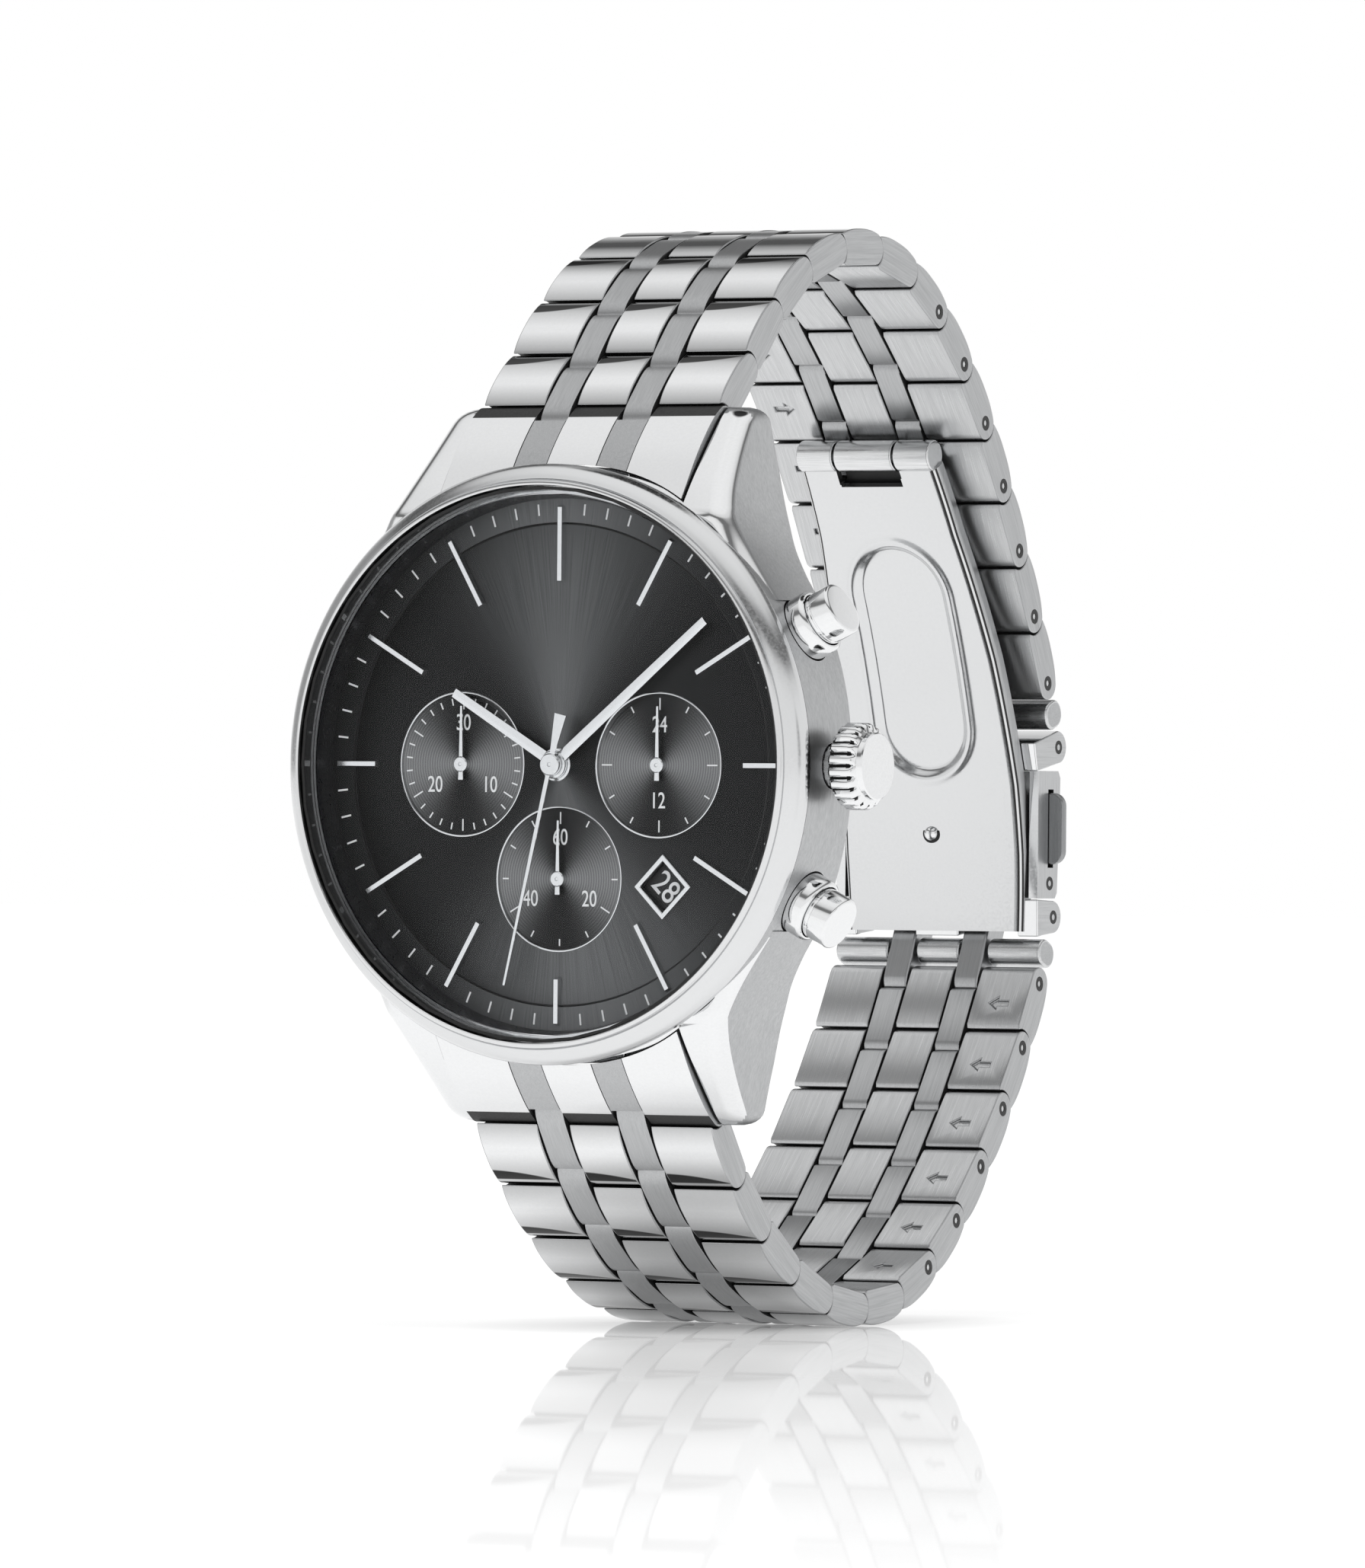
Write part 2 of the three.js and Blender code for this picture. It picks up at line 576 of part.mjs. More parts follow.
function outerBlade(upperHinge) {
  const bottom = 3.3;
  const top = KNUCKLE_ANGLE - 1;
  let blade = bladeSector(BLADE_INNER, BLADE_OUTER, bottom, top + 1, CLASP_HALF_WIDTH);
  blade = blade.intersect(planOfClasp(platePlan(0.8)));
  for (const x of [[BARREL_HALF - 0.02, CLASP_HALF_WIDTH], [-CLASP_HALF_WIDTH, 0.02 - BARREL_HALF]]) {
    blade = blade.subtract(knuckleRod(KNUCKLE_RADIUS + 0.25, x[0], x[1]));
  }
  blade = blade.add(knuckleRod(KNUCKLE_RADIUS, -BARREL_HALF, BARREL_HALF));
  blade = joined([blade, ...ears(upperHinge, BLADE_OUTER - 0.1, 0.95, columns(CLASP_HALF_WIDTH).outer)]);
  const foot = rectangle(45.9, -8.6, 47, -7.4); // carries the cover
  blade = blade.add(prismX(foot, -4.5, 4.5));
  blade = blade.subtract(hingePin(HINGE_PIN_RADIUS + 0.06, CLASP_HALF_WIDTH));
  return blade.add(upperPin(upperHinge));
}

function upperPin(hinge) {
  const reach = columns(CLASP_HALF_WIDTH).outer + 0.4;
  return prismX(circle(hinge, PIN_RADIUS, 6), -reach, reach);
}

function claspCover() {
  const outline = [[46.1, 0.1], [48.2, 0.1], [48.5, -0.4], [48.1, -8.8], [47.8, -9.2], [45.7, -9.2]];
  const inside = [[40, 2], [47.8, 2], [47.3, -11], [40, -11]];
  const points = (pairs) => pairs.map(([y, z]) => new THREE.Vector2(y, z));
  let cover = prismX(points(outline), -COVER_HALF_WIDTH, COVER_HALF_WIDTH);
  const wall = COVER_HALF_WIDTH - 0.75;
  cover = cover.subtract(prismX(points(inside), -wall, wall));
  for (const x of [[7, 9], [-9, -7]]) {
    cover = cover.subtract(prismX(rectangle(46.7, -6.95, 47.5, -1.25), x[0], x[1]));
  }
  return cover;
}

function claspButton(side) {
  const face = arc(new THREE.Vector2(5.1, -4.1), 4.6, -34, 34, 4);
  const outline = [...face, new THREE.Vector2(6.6, -1.5), new THREE.Vector2(6.6, -6.7)];
  return prismY(mirrored(outline, side, 1), 46.78, 47.42);
}

function addClasp(upperHinge, lowerHinge) {
  addPiece('clasp_outer_blade', outerBlade(upperHinge), brushedSteel());
  addPiece('clasp_cover', claspCover(), polishedSteel());
  addPiece('clasp_inner_plate', innerPlate(lowerHinge), polishedSteel());
  addPiece('clasp_hinge_pin', hingePin(HINGE_PIN_RADIUS, KNUCKLE_HALF - 0.1), brushedSteel());
  addPiece('clasp_button_3', claspButton(1), brushedSteel());
  addPiece('clasp_button_9', claspButton(-1), brushedSteel());
}

// ---- assembly -----------------------------------------------------------------------------------

addPiece('mid_case', midCase(), brushedSteel());
addPiece('bezel', bezel(), polishedSteel());
const glass = enamel(0xffffff, 0.02);
glass.transparent = true;
glass.opacity = 0.12;
addPiece('crystal', crystal(), glass);
addPiece('crystal_gasket', crystalGasket(), enamel(0x202020, 0.6));
addPiece('case_back', caseBack(), polishedSteel());
addPiece('dial', dial(), enamel(0x18191b, 0.35));
addPiece('dial_flange', dialFlange(), enamel(0x101112, 0.4));
addPiece('movement', movement(), steel(0x9a9484, 0.4));
addPiece('date_disc', dateDisc(), enamel(0x0d0d0e, 0.6));
addHands();
addCrown();
addPusher(2, PUSHER_ANGLE);
addPusher(4, -PUSHER_ANGLE);
for (const [hour, side] of [[12, 1], [6, -1]]) {
  addPiece(`end_link_${hour}`, endLink(side), polishedSteel());
  addPiece(`spring_bar_${hour}`, springBar(side), brushedSteel());
}
addStrap('upper', UPPER_HEADING, UPPER_BENDS, UPPER_HALF_LINK, 3.5, 1);
addStrap('lower', LOWER_HEADING, LOWER_BENDS, LOWER_HALF_LINK, 3.4, -1);
addClasp(
  hinges(UPPER_HEADING, UPPER_BENDS, UPPER_HALF_LINK, 1).at(-1),
  hinges(LOWER_HEADING, LOWER_BENDS, LOWER_HALF_LINK, -1).at(-1),
);

export default watch;
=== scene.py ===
"""Looks of a steel chronograph wristwatch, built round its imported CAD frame.

Lengths are in millimetres and in the frame's axes: +X to 3 o'clock, +Z to 12 o'clock, and the dial faces
-Y. A mesh is made in millimetres, in a frame of its own, and goes to metres when it is placed.
"""

import json
import math

import bmesh
import bpy
from mathutils import Matrix, Vector


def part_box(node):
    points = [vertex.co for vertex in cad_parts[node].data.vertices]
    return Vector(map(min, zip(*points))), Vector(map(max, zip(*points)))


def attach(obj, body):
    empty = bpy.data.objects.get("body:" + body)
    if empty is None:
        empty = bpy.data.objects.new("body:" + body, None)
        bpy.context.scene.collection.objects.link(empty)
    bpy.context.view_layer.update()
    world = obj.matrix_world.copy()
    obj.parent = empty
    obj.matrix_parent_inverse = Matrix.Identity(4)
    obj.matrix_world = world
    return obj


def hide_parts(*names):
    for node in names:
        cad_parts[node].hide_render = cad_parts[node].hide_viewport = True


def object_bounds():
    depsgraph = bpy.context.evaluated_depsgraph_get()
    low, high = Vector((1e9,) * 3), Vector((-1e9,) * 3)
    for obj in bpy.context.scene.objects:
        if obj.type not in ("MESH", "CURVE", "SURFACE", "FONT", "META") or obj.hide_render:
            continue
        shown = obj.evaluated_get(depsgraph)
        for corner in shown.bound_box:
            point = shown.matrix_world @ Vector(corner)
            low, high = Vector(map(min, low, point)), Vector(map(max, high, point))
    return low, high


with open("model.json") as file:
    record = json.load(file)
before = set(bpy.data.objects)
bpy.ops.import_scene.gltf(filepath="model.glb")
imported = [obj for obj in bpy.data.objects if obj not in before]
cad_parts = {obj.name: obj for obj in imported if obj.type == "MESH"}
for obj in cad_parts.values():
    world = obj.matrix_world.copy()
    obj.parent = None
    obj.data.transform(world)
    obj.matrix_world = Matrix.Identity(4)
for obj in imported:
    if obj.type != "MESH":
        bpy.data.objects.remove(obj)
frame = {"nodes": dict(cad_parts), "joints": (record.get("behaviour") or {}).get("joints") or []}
CAD_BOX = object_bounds()
MM = 0.001


def cad_box(node):
    """Lowest and highest corner of a CAD node, in millimetres."""
    low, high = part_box(node)
    return low / MM, high / MM


HINGES = {joint["child"]: Vector(joint["pos_m"]) / MM for joint in frame["joints"] if "pos_m" in joint}

# ---- driving dimensions ----

DIAL_Y = cad_box("dial")[0].y
STEM_Y = HINGES["crown"].y
CASE_RADIUS = 20.9
BEZEL_RADIUS = cad_box("bezel")[1].x
BORE_RADIUS = 18.95
CRYSTAL_RADIUS = cad_box("crystal")[1].x
FLANGE_RADIUS = 18.62
LUG_GAP = 10.05
LUG_ROUNDING = 1.35
SUB_DIAL_RADIUS = 5.1
CHAPTER_RADIUS = 16.9  # step between the dial's middle and its outer ring
PUSHER_ANGLE = 27

PITCH = 5.33
LINK_END = 1.2
LINK_SOCKET = 1.36
LINK_INNER = -1.15
WIDE_CREST = 1.48
NARROW_CREST = 1.4
STRAP_HALF_WIDTH = 9.75
CENTRE_COLUMN = 2.05  # half of the centre column's width
NARROW_COLUMN = 2.31
COLUMN_GAP = 0.16
PIN_RADIUS = 0.45
PIN_END_RADIUS = 0.22
PIN_BORE = 0.56
FIRST_DRILLED_ROW = 6
UPPER_ROWS = 13
LOWER_ROWS = 12

CLASP_CENTRE = Vector((-17, -12.6))  # (Y, Z)
PLATE_INNER = 61.9
PLATE_OUTER = 62.6
PLATE_WALL = 63.2
BLADE_INNER = 62.8
BLADE_OUTER = 63.45
KNUCKLE_ANGLE = 34.4
KNUCKLE_RADIUS = 1.15
KNUCKLE_HALF = 5.5
BARREL_HALF = 2.4
COVER_HALF_WIDTH = 8.45
CLASP_HALF_WIDTH = 8.55
LOWER_PIVOT = Vector((0, 47.588, -10.562))  # the open pivot at the lower end of the clasp plate

FINE, ROUND, MEDIUM, SMALL, TINY = 256, 192, 128, 64, 24  # facets round turned pieces, by their size
BEYOND = 20  # from the middle to well outside the bracelet's sides

# ---- materials ----


class Shader:
    """A node tree under construction: nodes are added by kind and linked by a socket's name or number."""

    def __init__(self, owner, output="OutputMaterial"):
        owner.use_nodes = True
        self.owner = owner
        self.tree = owner.node_tree
        self.tree.nodes.clear()
        self.output = self.add(output)

    def add(self, kind, inputs=None, **settings):
        node = self.tree.nodes.new("ShaderNode" + kind)
        for key, value in settings.items():
            setattr(node, key, value)
        for key, value in (inputs or {}).items():
            if isinstance(value, bpy.types.NodeSocket):
                self.tree.links.new(value, node.inputs[key])
            else:
                node.inputs[key].default_value = value
        return node

    def math(self, operation, *values):
        return self.add("Math", dict(enumerate(values)), operation=operation).outputs[0]

    def spread(self, value, low, high, from_low=0.0, from_high=1.0, curve="LINEAR"):
        """The value, with its range from_low to from_high spread over low to high."""
        limits = {0: value, 1: from_low, 2: from_high, 3: low, 4: high}
        return self.add("MapRange", limits, interpolation_type=curve).outputs[0]

    def point(self):
        """A point in its piece's own millimetres, turned so that the grain runs along the second axis."""
        return self.add("Attribute", attribute_name="grain").outputs["Vector"]

    def noise(self, vector, scale, detail, roughness=0.5):
        inputs = {"Vector": vector, "Scale": scale, "Detail": detail, "Roughness": roughness}
        return self.add("TexNoise", inputs).outputs[0]

    def brushing(self, scale):
        """Noise stretched along the grain, as a grinding belt leaves it."""
        stretched = self.add("Mapping", {"Vector": self.point(), "Scale": scale}).outputs[0]
        return self.noise(stretched, 1.0, 4.0, 0.65)

    def bump(self, height, strength):
        return self.add("Bump", {"Height": height, "Strength": strength, "Distance": 0.00002}).outputs[0]

    def tint(self, factor, dark, light):
        """A mix of two colours, each a triple or a socket."""
        ends = [c if isinstance(c, bpy.types.NodeSocket) else (*c, 1) for c in (dark, light)]
        return self.add("Mix", {0: factor, 6: ends[0], 7: ends[1]}, data_type="RGBA").outputs[2]

    def end(self, node):
        self.tree.links.new(node.outputs[0], self.output.inputs[0])
        return self.owner

    def finish(self, **inputs):
        """Ends a material in a Principled shader with these inputs."""
        named = {key.replace("_", " "): value for key, value in inputs.items()}
        return self.end(self.add("BsdfPrincipled", named))


def shader(name):
    return Shader(bpy.data.materials.new(name))


def grey(value, cool=0.006):
    return (value - cool, value, value + cool)


def polished_steel(name, value, rough, shade=None):
    """Mirror finish with a faint haze. shade says where painted shade darkens it, from the shader and its
    point.
    """
    s = shader(name)
    point = s.point()
    haze = s.noise(point, 5.0, 5.0)
    colour = s.tint(haze, grey(value - 0.03), grey(value + 0.03))
    if shade:
        # Painted shade: the colour darkens towards near-black where shade says.
        colour = s.tint(shade(s, point), colour, (0.03, 0.03, 0.03))
    return s.finish(
        Base_Color=colour,
        Metallic=1.0,
        Roughness=s.spread(haze, *rough, 0.3, 0.7),
        Normal=s.bump(s.noise(point, 0.45, 1.0), 0.25),
    )


def link_shade(s, point):
    """Painted shade on a wide link's front: dark at both ends, where it dips into a groove, and softly so
    beside them, with a curved dark band of painted reflection just short of its far end.
    """
    parts = s.add("SeparateXYZ", {0: point}).outputs
    along = parts["Y"]
    spacing = STRAP_HALF_WIDTH * 0.74
    column = s.math("ROUND", s.math("DIVIDE", parts["X"], spacing))
    local = s.math("SUBTRACT", parts["X"], s.math("MULTIPLY", column, spacing))
    bent = s.math("MULTIPLY", s.math("POWER", s.math("ADD", local, 3.0), 2.0), 0.03)
    band = s.spread(s.math("SUBTRACT", along, bent), 0.0, 1.0, PITCH - 0.75, PITCH - 0.6)
    dark = s.math("MULTIPLY", band, s.spread(along, 1.0, 0.0, PITCH + 0.25, PITCH + 0.35))
    others = [
        s.spread(along, 0.0, 1.0, PITCH + 0.5, PITCH + 0.6),
        s.spread(along, 1.0, 0.0, 0.72, 0.95),
        s.spread(along, 0.38, 0.0, 0.9, 2.6),
        s.spread(along, 0.0, 0.3, 3.2, 4.9),
    ]
    for other in others:
        dark = s.math("MAXIMUM", dark, other)
    return s.math("MULTIPLY", dark, s.spread(parts["Z"], 0.0, 1.0, 0.1, 0.3))


def brushed_steel(name, value, roughness, scale, depth):
    """A belt finish. scale says how fast it changes across, along and out of the grain."""
    s = shader(name)
    fine = s.brushing(scale)
    coarse = s.brushing([k * 0.25 for k in scale])
    both = s.math("ADD", s.math("MULTIPLY", fine, 0.7), s.math("MULTIPLY", coarse, 0.3))
    return s.finish(
        Base_Color=s.tint(s.spread(both, 0, 1, 0.3, 0.7), grey(value * 0.86), grey(value * 1.12)),
        Metallic=1.0,
        Roughness=s.spread(both, roughness * 1.15, roughness * 0.85, 0.3, 0.7),
        Normal=s.bump(fine, depth),
    )


def polar_point(s, centre):
    """Angle and distance of a point from a centre on the dial, for patterns that run round it."""
    parts = s.add("SeparateXYZ", {0: s.point()}).outputs
    x = s.math("SUBTRACT", parts["X"], centre[0])
    z = s.math("SUBTRACT", parts["Z"], centre[1])
    distance = s.math("SQRT", s.math("ADD", s.math("MULTIPLY", x, x), s.math("MULTIPLY", z, z)))
    return s.math("ARCTAN2", x, z), distance


def sunray_dial():
    """Black lacquer over radial brushing, with a painted sheen in its colour that fans out to 12 and to 6
    o'clock.
    """
    s = shader("dial_sunray_painted_sheen")
    angle, distance = polar_point(s, (0, 0))
    fine_angle = s.math("MULTIPLY", angle, 130.0)
    streak = s.add("CombineXYZ", {0: fine_angle, 1: s.math("MULTIPLY", distance, 0.12)})
    streaks = s.noise(streak.outputs[0], 1.0, 3.0)
    upper = s.math("POWER", s.math("MAXIMUM", s.math("COSINE", angle), 0.0), 9.0)
    lower = s.math("MAXIMUM", s.math("COSINE", s.math("SUBTRACT", angle, math.radians(172))), 0.0)
    fan = s.math("ADD", upper, s.math("POWER", lower, 6.0))
    sheen = s.math("MULTIPLY", fan, s.spread(streaks, 0.7, 1.25, 0.3, 0.7))
    return s.finish(
        Base_Color=s.tint(s.spread(sheen, 0.0, 1.0, 0.0, 1.1), grey(0.02, 0.0004), grey(0.16, 0.002)),
        Metallic=0.8,
        Roughness=s.spread(streaks, 0.36, 0.5, 0.3, 0.7),
        Normal=s.bump(streaks, 0.15),
        Specular_IOR_Level=0.15,
    )


def turned_dial(name, centre):
    """Fine rings turned in a sub-dial, with a painted sheen in its colour that fans out to 3 and to 9
    o'clock.
    """
    s = shader(name)
    angle, distance = polar_point(s, centre)
    ring = s.math("SINE", s.math("MULTIPLY", distance, 2 * math.pi / 0.2))
    fan = s.math("POWER", s.math("ABSOLUTE", s.math("SINE", angle)), 3.0)
    sheen = s.math("MULTIPLY", fan, s.spread(ring, 0.55, 1.0, -1.0, 1.0))
    return s.finish(
        Base_Color=s.tint(sheen, grey(0.008, 0.0002), grey(0.27, 0.002)),
        Metallic=0.6,
        Roughness=s.spread(ring, 0.34, 0.44, -1.0, 1.0),
        Normal=s.bump(ring, 0.12),
    )


def plain(name, colour, roughness, metallic=0.0, speckle=0.15):
    """A cast, moulded or printed surface with a slight mottle."""
    s = shader(name)
    mottle = s.noise(s.point(), 6.0, 4.0)
    dark, light = (tuple(c * (1 + k * speckle) for c in colour) for k in (-1, 1))
    return s.finish(
        Base_Color=s.tint(mottle, dark, light),
        Metallic=metallic,
        Roughness=s.spread(mottle, roughness * 0.85, roughness * 1.15, 0.3, 0.7),
        Normal=s.bump(mottle, 0.1),
    )


def clear_glass():
    s = shader("crystal_glass")
    glow = s.math("MULTIPLY", s.add("Fresnel", {"IOR": 1.45}).outputs[0], 0.12)
    gloss = s.add("BsdfGlossy", {"Color": (1, 1, 1, 1), "Roughness": 0.02}).outputs[0]
    through = s.add("BsdfTransparent", {"Color": (0.97, 0.975, 0.98, 1)}).outputs[0]
    return s.end(s.add("MixShader", {0: glow, 1: through, 2: gloss}))


POLISHED = polished_steel("polished_steel", 0.78, (0.03, 0.075))
# Wide links' mirror finish, with painted shade and painted reflection at their ends.
POLISHED_LINK_PAINTED_SHADE = polished_steel("polished_link_painted_shade", 0.8, (0.03, 0.08), link_shade)
POLISHED_BEZEL = polished_steel("polished_bezel", 0.68, (0.096, 0.24))
POLISHED_PLATE = polished_steel("polished_plate", 0.66, (0.084, 0.21))
SATIN = polished_steel("satin_hand", 0.8, (0.096, 0.24))
BRUSHED = brushed_steel("brushed_steel", 0.56, 0.3, (17, 0.35, 17), 0.25)
BRUSHED_DARK = brushed_steel("brushed_narrow_link", 0.45, 0.32, (17, 0.35, 17), 0.25)
BRUSHED_SIDE = brushed_steel("brushed_side", 0.44, 0.34, (9, 0.25, 9), 0.3)
BRUSHED_EAR = brushed_steel("brushed_ear", 0.5, 0.3, (9, 0.25, 9), 0.3)
BRUSHED_BUTTON = brushed_steel("brushed_button", 0.3, 0.3, (9, 0.25, 9), 0.4)
BARREL = brushed_steel("brushed_barrel", 0.68, 0.16, (14, 0.3, 14), 0.5)
ROUND_BRUSHED = brushed_steel("round_brushed", 0.6, 0.28, (8, 0.5, 8), 0.3)
DIAL = sunray_dial()
CHAPTER_BLACK = plain("flange_black", (0.022, 0.022, 0.024), 0.3, 0.6)
PRINT_WHITE = plain("printed_white", (0.82, 0.82, 0.82), 0.5, 0.0, 0.04)
DATE_BLACK_AND_STEP_SHADOW = plain("date_black_and_step_shadow", (0.006, 0.006, 0.006), 0.5)
RUBBER = plain("gasket_rubber", (0.012, 0.012, 0.012), 0.7)
# Near-black, for painted shade in gaps, holes, socket faces, notches, flutes and creases.
SHADOW_GAP = plain("painted_shadow_dark", (0.02, 0.02, 0.02), 0.5, 0.3)
NICKEL = plain("movement_nickel", (0.5, 0.47, 0.4), 0.38, 1.0)
GLASS = clear_glass()

# ---- shapes ----


def linked(name, data):
    """An object in the scene that holds the data."""
    made = bpy.data.objects.new(name, data)
    bpy.context.scene.collection.objects.link(made)
    return made


def piece(name, verts, faces):
    """A closed mesh in millimetres with its faces turned out."""
    mesh = bpy.data.meshes.new(name)
    mesh.from_pydata([tuple(v) for v in verts], [], faces)
    work = bmesh.new()
    work.from_mesh(mesh)
    bmesh.ops.recalc_face_normals(work, faces=work.faces)
    work.to_mesh(mesh)
    work.free()
    return linked(name, mesh)


def arc(centre, radius, start, end, steps):
    """Points on an arc, in degrees, in the plane of centre."""
    angles = [math.radians(start + (end - start) * i / steps) for i in range(steps + 1)]
    return [Vector((centre[0] + radius * math.cos(a), centre[1] + radius * math.sin(a))) for a in angles]


def spline(points, steps=6):
    """A smooth curve through the points."""
    points = [Vector(p) for p in points]
    ends = [points[0] * 2 - points[1], *points, points[-1] * 2 - points[-2]]
    curve = []
    for p0, p1, p2, p3 in zip(ends, ends[1:], ends[2:], ends[3:]):
        for i in range(steps):
            t = i / steps
            curve.append(
                0.5 * (2 * p1 + (p2 - p0) * t + (2 * p0 - 5 * p1 + 4 * p2 - p3) * t**2)
                + 0.5 * (3 * p1 - p0 - 3 * p2 + p3) * t**3
            )
    return [*curve, points[-1]]


def interpolated(table, x):
    """Linear interpolation in a table of (x, value) rows that rise."""
    if x <= table[0][0]:
        return table[0][1]
    for (x0, y0), (x1, y1) in zip(table, table[1:]):
        if x <= x1:
            return y0 + (y1 - y0) * (x - x0) / (x1 - x0)
    return table[-1][1]


def loft(name, rings):
    """A solid through rings of as many points each, with a face at both ends."""
    count = len(rings[0])
    last = (len(rings) - 1) * count
    faces = [tuple(range(count)), tuple(range(last, last + count))]
    for start in range(0, last, count):
        for i in range(count):
            a, b = start + i, start + (i + 1) % count
            faces.append((a, b, b + count, a + count))
    return piece(name, [v for ring in rings for v in ring], faces)


def prism(name, outline, start, end, axis=0):
    """An outline drawn out along an axis; its points are in the other two axes, in their order."""
    before, after = slice(0, axis), slice(axis, 2)
    return loft(name, [[(*p[before], depth, *p[after]) for p in outline] for depth in (start, end)])


def turned(name, profile, steps=ROUND, bulge=None):
    """A profile of (radius, height) points turned about Y. bulge changes a radius by angle and height."""
    verts, rings = [], []
    for r, h in profile:
        if r < 1e-6:
            rings.append([len(verts)] * steps)
            verts.append((0, h, 0))
            continue
        rings.append(list(range(len(verts), len(verts) + steps)))
        for i in range(steps):
            a = 2 * math.pi * i / steps
            radius = bulge(r, a, h) if bulge else r
            verts.append((radius * math.cos(a), h, radius * math.sin(a)))
    faces = []
    for lower, upper in zip(rings, rings[1:] + rings[:1]):
        for i in range(steps):
            j = (i + 1) % steps
            corners = list(dict.fromkeys((lower[i], lower[j], upper[j], upper[i])))
            if len(corners) > 2:
                faces.append(tuple(corners))
    return piece(name, verts, faces)


def settled(made):
    """Applies the modifiers of a piece."""
    graph = bpy.context.evaluated_depsgraph_get()
    made.data = bpy.data.meshes.new_from_object(made.evaluated_get(graph))
    made.modifiers.clear()
    return made


def combined(made, other, operation):
    step = made.modifiers.new(operation, "BOOLEAN")
    step.operation = operation
    step.solver = "EXACT"
    step.object = other
    settled(made)
    bpy.data.objects.remove(other)
    return made


def cut(made, *tools):
    for tool in tools:
        combined(made, tool, "DIFFERENCE")
    return made


def joined(name, pieces):
    """Several closed pieces as one mesh, without merging their solids."""
    work = bmesh.new()
    for part in pieces:
        work.from_mesh(part.data)
        bpy.data.objects.remove(part)
    mesh = bpy.data.meshes.new(name)
    work.to_mesh(mesh)
    work.free()
    return linked(name, mesh)


def cylinder(name, radius, start, end, steps=SMALL):
    """A round bar along Y."""
    return turned(name, [(0, start), (radius, start), (radius, end), (0, end)], steps)


def moved(made, matrix):
    made.data.transform(matrix)
    return made


def on_face(x, z):
    return Matrix.Translation((x, 0, z))


def bar_x(name, radius, start, end, centre, steps=SMALL):
    """A round bar along X whose axis passes through centre, in (Y, Z)."""
    made = cylinder(name, radius, start, end, steps)
    return moved(made, Matrix.Translation((0, centre[0], centre[1])) @ Matrix.Rotation(-math.pi / 2, 4, "Z"))


def painted(made, materials, rule):
    """Gives each face the material whose place in the list the rule says, from its normal and centre."""
    made.data.materials.clear()
    for material in materials:
        made.data.materials.append(material)
    for face in made.data.polygons:
        face.material_index = rule(face.normal, face.center)
    return made


def place(made, body, materials, replaces=(), bevel=0.0, matrix=None, grain=None, rule=None, edge=-1):
    """Finishes a piece: its materials, grain, edges, place in metres, body and the nodes it stands for.

    rule picks a face's material by its normal and centre, and edge is the material on the bevel.
    """
    if rule:
        painted(made, materials, rule)
    elif materials:
        painted(made, materials, lambda normal, centre: 0)
    mesh = made.data
    directions = mesh.attributes.new("grain", "FLOAT_VECTOR", "POINT")
    points = [grain(v.co) if grain else v.co for v in mesh.vertices]
    directions.data.foreach_set("vector", [c for p in points for c in p])
    mesh.transform(Matrix.Scale(MM, 4) @ (matrix or Matrix.Identity(4)))
    mesh.shade_smooth()
    if bevel:
        step = made.modifiers.new("edges", "BEVEL")
        step.width = bevel * MM
        step.segments = 3
        step.material = edge
        step.limit_method = "ANGLE"
        step.angle_limit = math.radians(32)
        step.harden_normals = True
        step.use_clamp_overlap = True
    else:
        mesh.set_sharp_from_angle(angle=math.radians(34))
    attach(made, body)
    if replaces:
        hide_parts(*replaces)
    return made


def round_grain(point):
    """Coordinates whose second axis runs round the watch's axis."""
    return (math.hypot(point.x, point.z), math.atan2(point.x, point.z) * 8, point.y)


def across_grain(point):
    """Coordinates whose second axis is X."""
    return (point.y, point.x, point.z)


def long_grain(point):
    """Coordinates whose second axis is Z."""
    return (point.x, point.z, point.y)


# ---- case ----


def on_dial(points):
    """(height behind the dial's face, Z) pairs as (Y, Z)."""
    return [Vector((DIAL_Y + y, z)) for y, z in points]


CASE_FRONT = [(-1.1, 17.4), (0.5, 19.6), (2.6, 22.1), (5.2, 25)]
CASE_REAR = [(8.1, 24.4), (8.2, 22.4), (8.2, 20.2), (7.7, 17.2), (6.5, 14), (5.3, 8), (4.5, 0)]
LUG_FLANK = [(11, 17.9), (13.8, 15.95), (16, 14.6), (18.4, 13.55), (21.6, 12.7), (25.2, 12.05)]


def case_outline():
    upper = [*spline(on_dial(CASE_FRONT)), *spline(on_dial(CASE_REAR))]
    return [*upper, *[Vector((p.x, -p.y)) for p in reversed(upper[:-1])]]


def lug(flip_x, flip_z):
    """A lug lofted along Z, with a large rounding where its front turns into its flank."""
    front = [(p.y, p.x) for p in spline(on_dial(CASE_FRONT))]
    rear = [(p.y, p.x) for p in reversed(spline(on_dial(CASE_REAR)))]
    flank = [(p.x, p.y) for p in spline(LUG_FLANK)]
    rings = []
    tip = 24.1  # where the lug's end starts to round off
    for z in [11.5 + 0.4 * i for i in range(32)] + [tip + k for k in (0, 0.3, 0.55, 0.75, 0.9, 1)]:
        past = max(0.0, z - tip)
        inset = 1 - math.sqrt(max(0.0, 1 - past * past))
        outer = interpolated(flank, z) - inset
        high = interpolated(front, z) + inset * 0.6
        low = interpolated(rear, z) - inset
        section = [(LUG_GAP, low), (LUG_GAP, high + 0.12), (LUG_GAP + 0.12, high)]
        section += arc((outer - LUG_ROUNDING, high + LUG_ROUNDING), LUG_ROUNDING, -90, 0, 12)
        section += arc((outer - 0.3, low - 0.3), 0.3, 0, 90, 4)
        rings.append([(p[0] * flip_x, p[1], z * flip_z) for p in section])
    return loft("lug", rings)


def radial_bar(name, profile, swing, steps=SMALL, bulge=None):
    """A profile of (radius, distance from the watch's axis) turned about a line at the crown's height."""
    made = turned(name, profile, steps, bulge)
    turn = Matrix.Rotation(-math.radians(swing), 4, "Y") @ Matrix.Rotation(-math.pi / 2, 4, "Z")
    return moved(made, Matrix.Translation((0, STEM_Y, 0)) @ turn)


